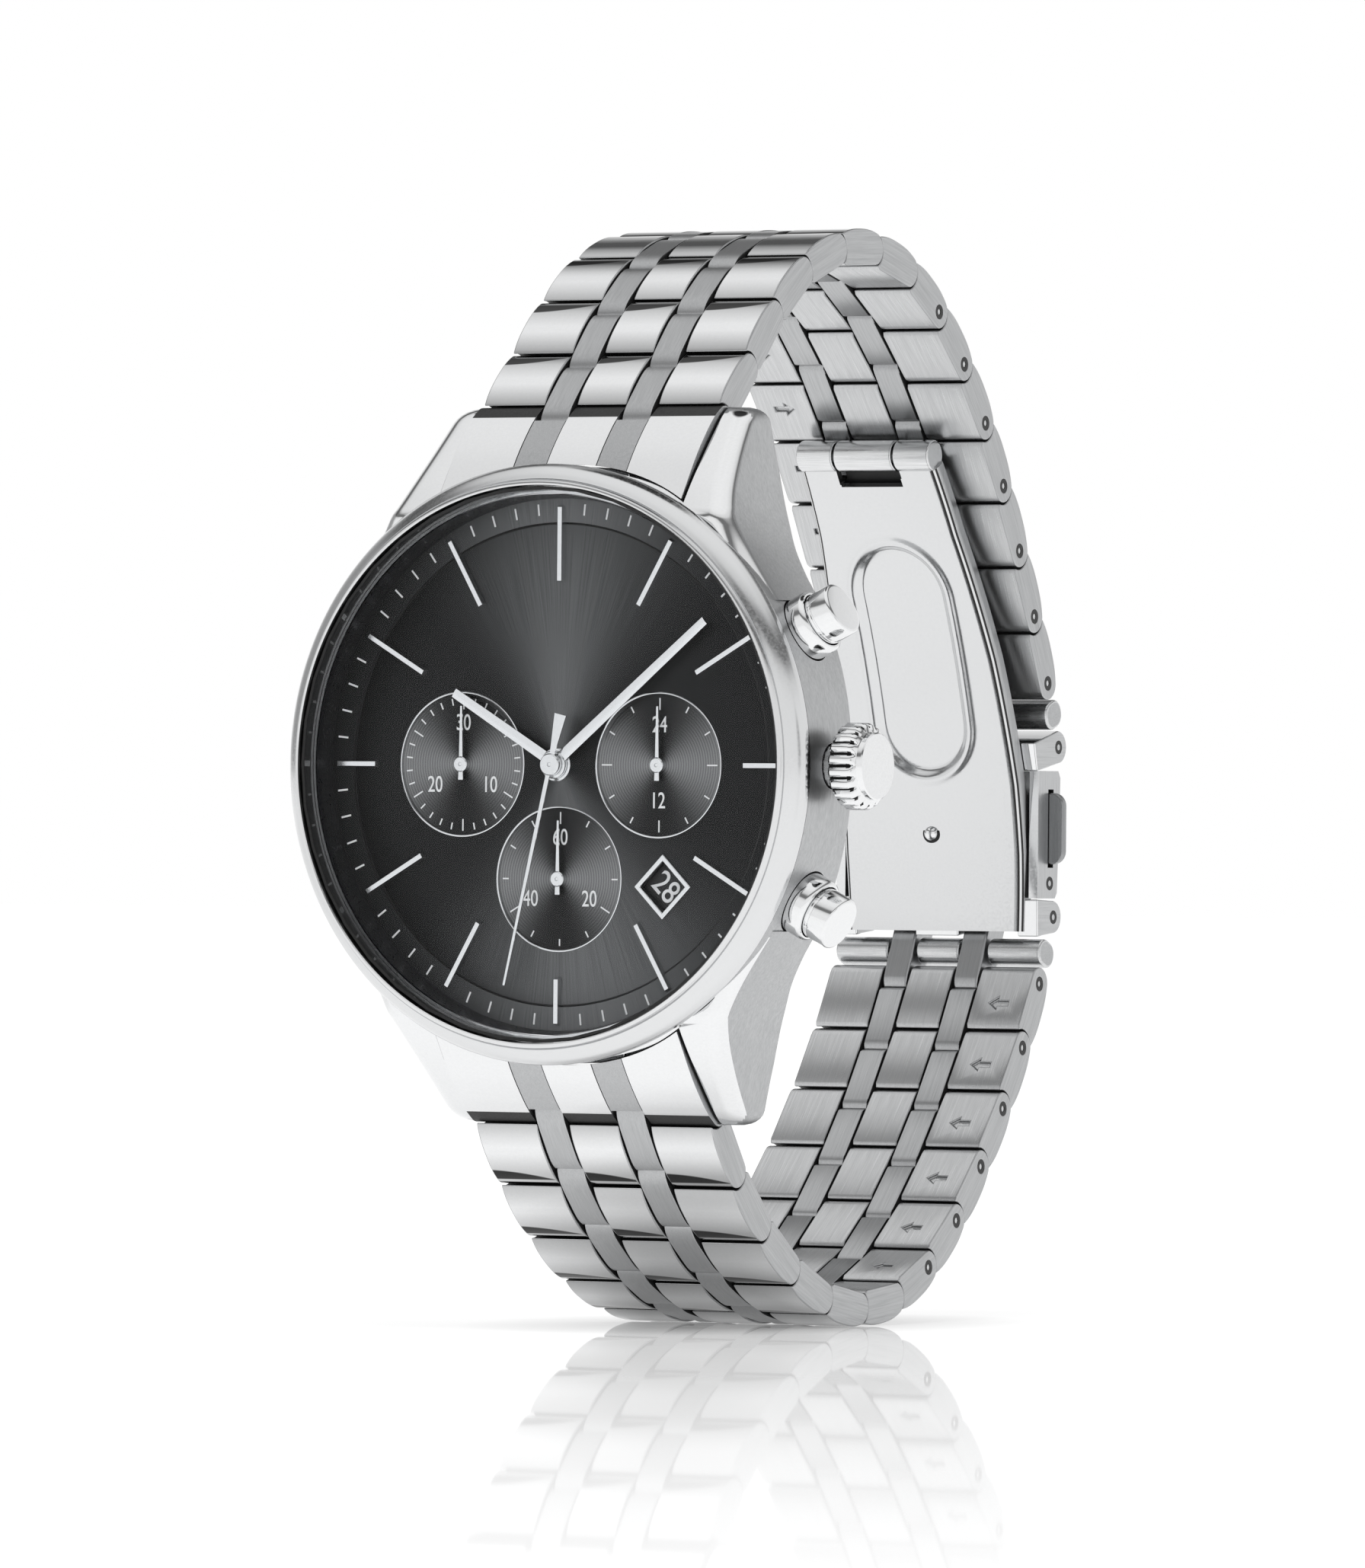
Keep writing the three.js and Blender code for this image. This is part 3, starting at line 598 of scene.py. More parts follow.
def add_mid_case():
    front = DIAL_Y - 1.2
    body = cylinder("mid_case_body", CASE_RADIUS, front, 0, ROUND)
    combined(body, prism("side", case_outline(), -22, 22), "INTERSECT")
    cut(body, cylinder("bore", BORE_RADIUS, front - 1, 1, ROUND))
    cut(body, radial_bar("crown_seat", [(0, 15), (1.6, 15), (1.6, 22), (0, 22)], 0))
    for swing in (PUSHER_ANGLE, -PUSHER_ANGLE):
        seat = [(0, 15), (1.1, 15), (1.1, 20.05), (2.4, 20.05), (2.4, 24), (0, 24)]
        cut(body, radial_bar("pusher_seat", seat, swing))
    for x in (1, -1):
        for z in (1, -1):
            combined(body, cut(lug(x, z), cylinder("bore", BORE_RADIUS + 0.4, front - 1, 1, ROUND)), "UNION")

    def finish(normal, centre):
        return 0 if normal.y < -0.25 and abs(centre.z) > 12 else 1

    finishes = [POLISHED, BRUSHED_SIDE]
    place(body, "case", finishes, ["mid_case"], 0.1, None, long_grain, finish, 0)


def add_bezel():
    d = DIAL_Y
    shoulder = spline([(BEZEL_RADIUS, d - 1.85), (20.75, d - 2.35), (20.35, d - 2.75), (19.95, d - 3.02)], 5)
    rim = [(19.9, d - 2.96), (19.86, d - 3.02), (19.8, d - 3.3), (19.7, d - 3.38), (19.58, d - 3.4)]
    foot = [(19.5, d - 3.34), (19.46, d - 1.85), (BORE_RADIUS, d - 1.85), (BORE_RADIUS, d - 1.25)]
    foot.append((BEZEL_RADIUS - 0.05, d - 1.25))
    profile = [(BEZEL_RADIUS, d - 1.32), *[tuple(p) for p in shoulder], *rim, *foot]
    place(turned("bezel_ring", profile, FINE), "case", [POLISHED_BEZEL], ["bezel"])


def add_crystal():
    front, back = cad_box("crystal")[0].y, cad_box("crystal")[1].y
    edge = CRYSTAL_RADIUS - 0.2
    profile = [(0, front), (edge, front), (CRYSTAL_RADIUS, front + 0.2), (CRYSTAL_RADIUS, back), (0, back)]
    place(turned("crystal_disc", profile), "case", [GLASS], ["crystal"])


def add_flange():
    d = DIAL_Y
    profile = [(FLANGE_RADIUS, d - 0.05), (18.88, d - 0.05), (18.88, d - 1.8), (18.84, d - 1.8)]
    place(turned("flange_ring", profile), "case", [CHAPTER_BLACK], ["dial_flange"])


def add_case_back():
    radius = BORE_RADIUS - 0.1
    flat = 14.6
    profile = [(0, 0), (flat, 0), (14.75, -0.12), (14.9, -0.12), (15.05, 0), (16.8, 0), (18, -0.5)]
    profile += [(radius, -1.5), (radius, -4.2), (18.1, -4.2), (18.1, -2), (0, -2)]
    made = turned("case_back_plate", profile)

    def finish(normal, centre):
        return 1 if math.hypot(centre.x, centre.z) < flat else 0

    finishes = [POLISHED, ROUND_BRUSHED]
    place(made, "case", finishes, ["case_back"], 0, None, round_grain, finish)


# ---- dial ----

SUB_DIALS = {"minutes": (-8, 0), "hours": (8, 0), "seconds": (0, -8)}
SUB_DIAL_PRINT = {
    # ticks, which of them are longer, digits at their (x, z) from the sub-dial's centre
    "minutes": (30, 5, [("30", 0, 2.95), ("10", 2.3, -1.4), ("20", -2.3, -1.4)]),
    "hours": (12, 3, [("24", 0, 2.85), ("12", 0, -2.45)]),
    "seconds": (12, 4, [("60", 0, 2.95), ("20", 2.4, -1.35), ("40", -2.4, -1.35)]),
}
SUB_DIAL_DEPTH = 0.14
CHAPTER_STEP = 0.08
DATE_RADIUS = 12
DATE_CENTRE = Vector((DATE_RADIUS, 0, 0)) @ Matrix.Rotation(math.radians(-45), 3, "Y")


def dial_bar(name, width, start, end, front, back, angle, centre=(0, 0), top=None):
    """A bar on the dial along a radius, at an angle clockwise from 12, with its sides sloping to the top."""
    low, high = width / 2, (top or width) / 2
    slope = low - high
    base = [(x, back, z) for x, z in ((-low, start), (low, start), (low, end), (-low, end))]
    first, last = start + slope, end - slope
    ridge = [(x, front, z) for x, z in ((-high, first), (high, first), (high, last), (-high, last))]
    turn = Matrix.Rotation(math.radians(angle), 4, "Y")
    return moved(loft(name, [base, ridge]), on_face(*centre) @ turn)


def lettering(name, text, height, x, z, front, turn=0, squeeze=0.78, weight=0.0):
    """Digits standing a hair off the dial, upright at (x, z) or turned clockwise."""
    curve = bpy.data.curves.new(name, "FONT")
    curve.body = text
    curve.size = height * 1.38
    curve.align_x = "CENTER"
    curve.align_y = "CENTER"
    curve.offset = weight
    curve.extrude = 0.01
    holder = linked(name, curve)
    bpy.context.view_layer.update()
    graph = bpy.context.evaluated_depsgraph_get()
    mesh = bpy.data.meshes.new_from_object(holder.evaluated_get(graph))
    bpy.data.objects.remove(holder)
    made = linked(name, mesh)
    middle = sum((Vector(c) for c in made.bound_box), Vector()) / 8
    upright = Matrix.Rotation(math.pi / 2, 4, "X") @ Matrix.Diagonal((squeeze, 1, 1, 1))
    upright = upright @ Matrix.Translation(-middle)
    spot = Matrix.Translation((x, front, z)) @ Matrix.Rotation(math.radians(turn), 4, "Y")
    return moved(made, spot @ upright)


def add_dial_plate():
    d = DIAL_Y
    back = cad_box("dial")[1].y
    low = d + CHAPTER_STEP
    step = CHAPTER_RADIUS
    profile = [(0, low), (step - 0.1, low), (step, low + 0.06), (step + 0.06, d)]
    profile += [(18.8, d), (18.8, back), (0, back)]
    plate = turned("dial_plate", profile, FINE)
    for x, z in SUB_DIALS.values():
        hole = cylinder("hole", SUB_DIAL_RADIUS, d - 1, d + 1, MEDIUM)
        cut(plate, moved(hole, on_face(x, z)))
    window = [Vector((DATE_CENTRE.x, DATE_CENTRE.z)) + p for p in arc((0, 0), 1.8, 0, 270, 3)]
    cut(plate, prism("window", window, d - 1, d + 1, axis=1))
    cut(plate, cylinder("hub_hole", 0.95, d - 1, d + 1, 48))

    def finish(normal, centre):
        # Painted shade: a near-black ring where the dial steps down to its middle.
        return 1 if abs(math.hypot(centre.x, centre.z) - CHAPTER_RADIUS) < 0.12 else 0

    place(plate, "case", [DIAL, DATE_BLACK_AND_STEP_SHADOW], ["dial"], rule=finish)


def add_sub_dial(label, centre):
    floor = DIAL_Y + CHAPTER_STEP + SUB_DIAL_DEPTH
    r = SUB_DIAL_RADIUS
    disc = [(0.4, floor), (r - 0.02, floor), (r - 0.02, floor + 0.08), (0.4, floor + 0.08)]
    made = moved(turned(f"sub_dial_{label}", disc, MEDIUM), on_face(*centre))
    place(made, "case", [turned_dial(f"sub_dial_{label}_rings", centre)])
    high = DIAL_Y + CHAPTER_STEP
    ring = [(r - 0.11, floor), (r - 0.11, high - 0.04), (r - 0.06, high - 0.07), (r, high - 0.05)]
    ring.append((r, floor))
    made = moved(turned(f"sub_dial_{label}_ring", ring, MEDIUM), on_face(*centre))
    place(made, "case", [SATIN])


def add_sub_dial_print(label, centre, ticks, long_every, digits):
    """Ticks round a sub-dial, each long_every-th one longer, and digits at their (x, z) from its centre."""
    front = DIAL_Y + CHAPTER_STEP + SUB_DIAL_DEPTH - 0.02
    marks = []
    for i in range(ticks):
        start = 3.85 if i % long_every == 0 else 4.2
        angle = 360 * i / ticks
        marks.append(dial_bar("tick", 0.1, start, 4.68, front, front + 0.02, angle, centre))
    for text, x, z in digits:
        marks.append(lettering("digits", text, 1.16, centre[0] + x, centre[1] + z, front, weight=0.006))
    place(joined(f"sub_dial_{label}_print", marks), "case", [PRINT_WHITE])


def add_sub_dials():
    for label, centre in SUB_DIALS.items():
        add_sub_dial(label, centre)
    for label, centre in SUB_DIALS.items():
        add_sub_dial_print(label, centre, *SUB_DIAL_PRINT[label])


def add_indices():
    d = DIAL_Y
    bars = []
    for hour in range(12):
        start, end = 12.75, 18.15
        if hour in (3, 6, 9):
            start, end = 14.9, 18.25
        bars.append(dial_bar("index", 0.56, start, end, d - 0.3, d + CHAPTER_STEP, hour * 30, top=0.34))
    made = joined("hour_indices", bars)
    place(made, "case", [SATIN], bevel=0.03)
    minutes = [minute for minute in range(60) if minute % 5]
    ticks = [dial_bar("minute", 0.13, 17.5, 18.3, d - 0.02, d, minute * 6) for minute in minutes]
    place(joined("minute_ticks", ticks), "case", [PRINT_WHITE])


def add_date():
    d = DIAL_Y
    centre = Vector((DATE_CENTRE.x, DATE_CENTRE.z))
    outer, inner = ([centre + p for p in arc((0, 0), r, 0, 270, 3)] for r in (2.3, 1.8))
    border = prism("date_frame", outer, d - 0.12, d + 0.3, axis=1)
    cut(border, prism("opening", inner, d - 1, d + 1, axis=1))
    place(border, "case", [SATIN], bevel=0.08)
    low, high = cad_box("date_disc")
    disc = [(10.2, low.y + 0.02), (13.9, low.y + 0.02), (13.9, high.y), (10.2, high.y)]
    made = turned("date_ring", disc)
    place(made, "date_disc", [DATE_BLACK_AND_STEP_SHADOW], ["date_disc"], grain=round_grain)
    days = []
    for day in range(1, 32):
        angle = 135 + (day - 28) * 360 / 31
        x, z = (DATE_RADIUS * turn(math.radians(angle)) for turn in (math.sin, math.cos))
        days.append(lettering("day", str(day), 1.75, x, z, low.y, angle - 90, squeeze=0.85, weight=0.01))
    place(joined("date_numbers", days), "date_disc", [PRINT_WHITE])


# ---- hands ----


def hand_blade(half, front, back, turn, centre=(0, 0), ridge=0.0):
    """A flat hand whose half-widths are given as (half width, Z), with a low ridge along its middle."""
    rings = []
    edge = front + ridge
    for w, z in half:
        rings.append([(-w, back, z), (-w, edge, z), (0, front, z), (w, edge, z), (w, back, z)])
    at_centre = on_face(*centre) @ Matrix.Rotation(math.radians(turn), 4, "Y")
    return moved(loft("blade", rings), at_centre)


def hub(radius, front, back, centre=(0, 0), dimple=0.0):
    """A round boss, with a dimple in the middle of its end if one is asked for."""
    middle = [(0, front + 0.1), (dimple * 0.8, front + 0.1), (dimple, front)] if dimple else [(0, front)]
    profile = [*middle, (radius - 0.08, front), (radius, front + 0.08), (radius, back), (0, back)]
    return moved(turned("hub", profile, 48), on_face(*centre))


def add_hands():
    d = DIAL_Y
    hour = [hand_blade([(0.4, 0), (0.38, 5), (0.34, 9.8)], d - 0.54, d - 0.42, 300.8, ridge=0.05)]
    hour.append(hub(1.2, d - 0.62, d + 0.9))
    minute = [hand_blade([(0.4, 0), (0.36, 8), (0.31, 15.8)], d - 0.94, d - 0.82, 50.4, ridge=0.05)]
    minute.append(hub(1.0, d - 1.0, d - 0.66))
    needle = [(0.48, -3.6), (0.2, -0.9), (0.17, 0), (0.16, 2), (0.09, 15.9)]
    sweep = [hand_blade(needle, d - 1.34, d - 1.24, 193.2)]
    sweep.append(hub(0.78, d - 1.46, d - 1.04, dimple=0.16))
    for label, parts in (("hour", hour), ("minute", minute), ("chrono_seconds", sweep)):
        name = f"{label}_hand"
        place(joined(f"{label}_hand_metal", parts), name, [SATIN], [name], bevel=0.02)
    for label, centre in SUB_DIALS.items():
        needle = hand_blade([(0.2, -1.1), (0.16, 0), (0.08, 4.1)], d - 0.19, d - 0.07, 0, centre)
        parts = [needle, hub(0.55, d - 0.31, d + 0.9, centre, dimple=0.14)]
        name = f"small_{label}_hand"
        place(joined(f"{name}_metal", parts), name, [SATIN], [name], bevel=0.02)


# ---- crown and push-pieces ----

FLUTES = 20


def add_crown():
    def flute(radius, angle, distance):
        depth = 0.42 if 22.1 < distance < 23.75 else (0.2 if distance < 23.95 else 0.0)
        wave = abs(math.sin(angle * FLUTES / 2))
        return radius - depth * (1 - wave) ** 1.4

    profile = [(0, 22), (2.55, 22), (2.85, 22.08), (3.05, 22.3), (3.05, 23.1), (3.03, 23.5), (2.9, 23.74)]
    profile += [(2.66, 23.9), (2.42, 23.98), (2.36, 24.02), (2.34, 24.36), (2.26, 24.45), (0, 24.45)]
    made = radial_bar("crown_cap", profile, 0, FLUTES * 12, flute)

    def finish(normal, centre):
        if normal.x > 0.95 and centre.x > 24.4:
            return 1
        # Painted shade in the bottoms of the flutes and on the cap's inner faces.
        return 2 if centre.x < 23.8 and math.hypot(centre.y - STEM_Y, centre.z) < 2.82 else 0

    place(made, "crown", [POLISHED, SATIN, SHADOW_GAP], ["crown"], rule=finish)


def add_pusher(hour, swing):
    collar = [(1, 20.1), (2.3, 20.1), (2.3, 22), (2.24, 22.2), (2.1, 22.32), (1.98, 22.32), (1.95, 22.2)]
    collar += [(1.95, 21.1), (1, 21.1)]
    made = radial_bar(f"pusher_collar_{hour}_ring", collar, swing)
    place(made, "case", [POLISHED], [f"pusher_collar_{hour}"])
    cap = [(0, 19.4), (0.85, 19.4), (0.85, 22.2), (1.9, 22.2), (1.9, 22.55), (1.86, 22.6), (1.86, 22.68)]
    cap += [(1.9, 22.73), (1.9, 24.02), (1.86, 24.12), (1.76, 24.19), (1.64, 24.2), (0, 24.2)]
    made = radial_bar(f"pusher_{hour}_cap", cap, swing)
    name = f"pusher_{hour}"
    place(made, name, [POLISHED], [name])


# ---- bracelet ----


def columns(half):
    """Column edges across half of a row, by name."""
    scale = half / STRAP_HALF_WIDTH
    centre = CENTRE_COLUMN * scale
    start = centre + COLUMN_GAP
    end = start + NARROW_COLUMN * scale
    return {"centre": centre, "from": start, "to": end, "outer": end + COLUMN_GAP, "half": half}


def crest(start, end, height, fullness, steps=18):
    """A domed line from start to end; the fuller, the flatter its middle and the rounder its ends."""
    base = [start.lerp(end, i / steps) for i in range(steps + 1)]
    lift = height - (start.y + end.y) / 2
    return [p + Vector((0, lift * (1 - abs(2 * i / steps - 1) ** fullness))) for i, p in enumerate(base)]


def link_outline(height, fullness):
    """(along, outward) outline of a link from its hinge: hollow where it starts and round where it ends."""
    end = Vector((PITCH, 0))
    nose = arc(end, LINK_END, -68, 60, 16)
    socket = arc((0, 0), LINK_SOCKET, 58, -44, 12)
    top = crest(nose[-1], socket[0], height, fullness)[1:-1]
    inner = [Vector((1.32, LINK_INNER)), Vector((nose[0].x - 0.35, LINK_INNER))]
    return [*nose, *top, *socket, *inner]


def flipped(outline):
    return [Vector((PITCH - p.x, p.y)) for p in outline]


def row_matrix(start, end, side):
    """From a row's own (across, along, outward) to the watch: start and end are its two hinges."""
    along = (end - start).normalized()
    across = Vector((side, 0, 0))
    outward = across.cross(along)
    matrix = Matrix((across, along, outward)).transposed().to_4x4()
    return Matrix.Translation(start) @ matrix


def wide_finish(half):
    """Polished outside, brushed side faces and inside; painted shade, in a near-black material, in the gaps,
    the pin hole, the socket faces and the cut marks.
    """

    def finish(normal, centre):
        if math.hypot(centre.y - PITCH, centre.z) < 0.6 and abs(centre.x) < half - 0.01:
            return 3
        if LINK_INNER + 0.01 < centre.z < LINK_INNER + 0.12 and abs(normal.z) < 0.5 and 1.9 < centre.y < 4.5:
            return 3
        if abs(normal.x) > 0.6:
            return 1 if abs(centre.x) > half - 0.05 else 3
        if math.hypot(centre.y, centre.z) < LINK_SOCKET + 0.05:
            return 3
        return 0 if normal.z > 0.1 else 2

    return finish


def narrow_finish(normal, centre):
    """Brushed, with painted shade in a near-black material where it faces a gap or a socket."""
    if abs(normal.x) > 0.6 or math.hypot(centre.y - PITCH, centre.z) < LINK_SOCKET + 0.05:
        return 1
    return 0


def arrow(direction):
    """An arrow outline cut into the inside of a link, pointing along X."""
    head = [(-0.8, 0), (-0.15, 0.48), (-0.15, 0.2), (0.75, 0.2), (0.75, -0.2), (-0.15, -0.2), (-0.15, -0.48)]
    return [Vector((x * direction, y)) for x, y in head]


def wide_columns(name, outline, c):
    """The centre, low and high wide sections of a row."""
    spans = ((-c["centre"], c["centre"]), (-c["half"], -c["outer"]), (c["outer"], c["half"]))
    return [prism(name, outline, *span) for span in spans]


def wide_links(name, half, side, drilled):
    c = columns(half)
    centre, low, high = wide_columns("link", link_outline(WIDE_CREST, 2.6), c)
    if drilled:
        right = side * half  # the side towards 3 o'clock, in the row's own frame
        holed = high if right > 0 else low
        cut(holed, bar_x("hole", 0.5, right - side * 0.35, right + side, (PITCH, 0), TINY))
        # The arrow points from the pin's far end to the side that it is pushed out of.
        middle = -(half + c["outer"]) / 2
        outline = [Vector((p.x + middle, p.y + PITCH / 2 + 0.4)) for p in arrow(-1)]
        cut(low, prism("arrow", outline, LINK_INNER - 1, LINK_INNER + 0.22, axis=2))
    return joined(name, [centre, low, high])


def narrow_links(name, outline, c, hinges):
    """The two narrow links of a row, bored for its pins at these distances from its first hinge."""
    links = []
    for span in ((c["from"], c["to"]), (-c["to"], -c["from"])):
        link = prism("link", outline, *span)
        for along in hinges:
            cut(link, bar_x("hole", PIN_BORE, -BEYOND, BEYOND, (along, 0), 20))
        links.append(link)
    return joined(name, links)


def pin_across(name, width, centre, steps=TINY):
    """A pin right across a row of this half width, whose ends stop inside the outer columns."""
    reach = columns(width)["outer"] + 0.4
    return bar_x(name, PIN_RADIUS, -reach, reach, centre, steps)


def add_pins(name, body, half, side, matrix, drilled):
    pins = [pin_across("pin", half, (PITCH / 2, 0), 16)]
    end = columns(half)["outer"] + 0.4
    start = -end
    if drilled:
        tip = half - 0.06
        start, end = (start, tip) if side > 0 else (-tip, end)
        # A near-black ring of painted shadow round the pin's end stands for the shade in its hole.
        wall = sorted((side * (half - 0.3), side * (half - 0.02)))
        socket = bar_x(f"{name}_painted_hole_shadows", 0.54, *wall, (PITCH, 0), TINY)
        cut(socket, bar_x("opening", PIN_END_RADIUS, -BEYOND, BEYOND, (PITCH, 0), TINY))
        place(socket, body, [SHADOW_GAP], matrix=matrix)
    pins.append(bar_x("pin", PIN_END_RADIUS, start, end, (PITCH, 0), TINY))
    place(joined(name, pins), body, [ROUND_BRUSHED], matrix=matrix)


def half_width(body):
    return cad_box(body)[1].x


def add_row(body, start, end, side, drilled):
    matrix = row_matrix(start, end, side)
    half = half_width(body)
    made = wide_links(f"{body}_wide_links", half, side, drilled)
    finishes = [POLISHED_LINK_PAINTED_SHADE, BRUSHED_SIDE, BRUSHED, SHADOW_GAP]

    def grain(point):
        return (point.x * side, point.y, point.z)

    place(made, body, finishes, [body], 0.22, matrix, grain, wide_finish(half), 1)
    outline = flipped(link_outline(NARROW_CREST, 4.5))
    made = narrow_links(f"{body}_narrow_links", outline, columns(half), [0])
    place(made, body, [BRUSHED_DARK, SHADOW_GAP], [], 0.2, matrix, None, narrow_finish)
    add_pins(f"{body}_pins", body, half, side, matrix, drilled)


def side_finish(normal, centre):
    """The second material on the side faces, the first elsewhere."""
    return 1 if abs(normal.x) > 0.6 else 0


def add_half_link(body, start, end, side, bar_end):
    matrix = row_matrix(start, end, side)
    length = (end - start).length
    half = half_width(body)
    c = columns(half)
    bar_start = 1.45
    corner = 0.95
    left, right, low, high = bar_start + corner, bar_end - corner, -1.12 + corner, 1.22 - corner
    corners = ((right, high), (left, high), (left, low), (right, low))
    bar = [p for i, spot in enumerate(corners) for p in arc(spot, corner, 90 * i, 90 * i + 90, 8)]
    made = joined(f"{body}_wide_bars", wide_columns("bar", bar, c))
    finishes = [ROUND_BRUSHED, BRUSHED_SIDE]
    place(made, body, finishes, [body], 0.2, matrix, across_grain, side_finish, 0)
    outline = [*arc((length, 0), LINK_END, -90, 90, 12), *arc((0, 0), LINK_END, 90, 270, 12)]
    made = narrow_links(f"{body}_narrow_links", outline, c, [0, length])
    place(made, body, [BRUSHED_DARK], [], 0.2, matrix)
    pin = pin_across(f"{body}_pin", half, ((bar_start + bar_end) / 2, 0), 16)
    place(pin, body, [ROUND_BRUSHED], matrix=matrix)


def add_strap(label, rows, side, last_hinge, bar_end):
    bodies = [f"{label}_row_{i + 1:02}" for i in range(rows)] + [f"{label}_half_link"]
    points = [HINGES[body] for body in bodies] + [last_hinge]
    for i, body in enumerate(bodies[:-1]):
        add_row(body, points[i], points[i + 1], side, drilled=i >= FIRST_DRILLED_ROW)
    add_half_link(bodies[-1], points[-2], points[-1], side, bar_end)


END_HINGE = (DIAL_Y + 5.6, 24)  # (Y, Z) of the first row's hinge


def end_link_outline(side):
    front = spline(on_dial([(-0.7, 18.1), (0.1, 19.3), (1.75, 21.75), (3.2, 23.5), (4.15, 24.45)]), 5)
    nose = arc(END_HINGE, LINK_END, 155, -20, 14)[2:]
    rear = on_dial([(6.9, 22.6), (6.6, 19.2), (5.4, 18)])
    return [Vector((p.x, p.y * side)) for p in [*front, *nose, *rear]]


def add_end_link(hour, side):
    c = columns(STRAP_HALF_WIDTH)
    outline = end_link_outline(side)
    hinge = (END_HINGE[0], side * END_HINGE[1])
    line = 0.03  # half of the fine line between neighbouring sections
    half = LUG_GAP - 0.1
    edges = [-half, -c["outer"], -c["centre"], c["centre"], c["outer"], half]
    wide, narrow = [], []
    for i in range(5):
        section = prism("section", outline, edges[i] + line, edges[i + 1] - line)
        cut(section, cylinder("case_wall", CASE_RADIUS + 0.12, -14, 2, ROUND))
        if i % 2:
            cut(section, bar_x("mouth", LINK_SOCKET, -12, 12, hinge, 48))
            beyond = [(hinge[0] - 0.2, side * 23.1), (hinge[0] - 4, side * 26), (hinge[0] + 4, side * 26)]
            beyond.append((hinge[0] + 1, side * 23.6))
            cut(section, prism("beyond", beyond, -12, 12))
            narrow.append(section)
        else:
            wide.append(section)
    name = f"end_link_{hour}"
    made = joined(f"{name}_wide", wide)

    def finish(normal, centre):
        # Painted shade on the link's nose, where it turns in towards the first row.
        if abs(centre.z) > 24.4:
            return 2
        return 1 if abs(normal.x) > 0.6 else 0

    finishes = [POLISHED, BRUSHED_SIDE, SHADOW_GAP]
    place(made, "case", finishes, [name], 0.08, None, long_grain, finish)
    made = joined(f"{name}_narrow", narrow)
    place(made, "case", [BRUSHED_DARK], [], 0.06, None, long_grain)
    place(pin_across(f"{name}_pin", STRAP_HALF_WIDTH, hinge), "case", [ROUND_BRUSHED])


# ---- clasp ----


def plate_half_width(z):
    return interpolated([(-14, 7.3), (-6, 7.55), (-1, 7.5), (8, 6.9), (17, 5.9), (26, 5.5)], z)


def clasp_point(angle, radius, x):
    a = math.radians(angle)
    return (x, CLASP_CENTRE.x + radius * math.cos(a), CLASP_CENTRE.y + radius * math.sin(a))


def smooth_step(value):
    t = max(0.0, min(1.0, value))
    return t * t * (3 - 2 * t)


def panel_depth(x, z):
    """How deep the stadium-shaped panel is pressed at a point of the plate."""
    half = 3.7
    nearest = max(3.4, min(12.6, z))
    inside = half - math.hypot(x, z - nearest)
    return 0.4 * smooth_step((inside + 0.1) / 0.6) - 0.14 * math.exp(-(((inside + 0.35) / 0.28) ** 2))


def bent_sheet(name, angles, section, keep):
    """A closed sheet. section gives an angle's points as (x, inner, outer), and keep which cells stay."""
    rows = [section(angle) for angle in angles]
    wide = len(rows[0])
    verts = [clasp_point(a, p[1 + k], p[0]) for k in (0, 1) for a, row in zip(angles, rows) for p in row]
    layer = len(angles) * wide

    def vertex(i, j, k):
        return k * layer + i * wide + j

    spots = [(i, j) for i in range(len(angles) - 1) for j in range(wide - 1)]
    cells = {(i, j) for i, j in spots if keep(angles[i], rows[i][j][0])}
    faces = []
    for i, j in cells:
        ring = [(i, j), (i + 1, j), (i + 1, j + 1), (i, j + 1)]
        faces.append(tuple(vertex(a, b, 0) for a, b in ring))
        faces.append(tuple(vertex(a, b, 1) for a, b in reversed(ring)))
        beside = [(i, j - 1), (i + 1, j), (i, j + 1), (i - 1, j)]
        for n, other in enumerate(beside):
            if other not in cells:
                (a, b), (e, f) = ring[n], ring[(n + 1) % 4]
                faces.append((vertex(a, b, 0), vertex(a, b, 1), vertex(e, f, 1), vertex(e, f, 0)))
    used = sorted({v for face in faces for v in face})
    index = {v: i for i, v in enumerate(used)}
    return piece(name, [verts[v] for v in used], [tuple(index[v] for v in face) for face in faces])


def knuckle_centre():
    _, y, z = clasp_point(KNUCKLE_ANGLE, (PLATE_INNER + BLADE_OUTER) / 2, 0)
    return (y, z)


def plate_section(angle):
    """Across the plate: flat in the middle, pressed in at the panel, rolled outwards at both sides."""
    z = CLASP_CENTRE.y + PLATE_INNER * math.sin(math.radians(angle))
    width = plate_half_width(z)
    roll = 0.62
    steps = 56
    points = []
    for x in (i / steps * (width - roll) for i in range(-steps, steps + 1)):
        depth = panel_depth(x, z)
        points.append((x, PLATE_INNER + depth, PLATE_OUTER - 0.12 + depth * 0.8))
    side = []
    for k in range(1, 7):
        a = math.radians(15 * k)
        x = width - roll + roll * math.sin(a)
        side.append((x, PLATE_INNER + roll * (1 - math.cos(a)), PLATE_OUTER - 0.1))
    left = [(-x, inner, outer) for x, inner, outer in reversed(side)]
    return [*left, *points, *side]


def plate_finish(normal, centre):
    """The polished face ends in a crease of painted shade, a polished roll and a second crease of painted
    shade before the brushed wall.
    """
    tilt = abs(normal.x)
    if abs(centre.x) < 5 or tilt < 0.3:
        return 0
    if tilt > 0.88:
        return 2
    return 0 if 0.45 < tilt < 0.7 else 1


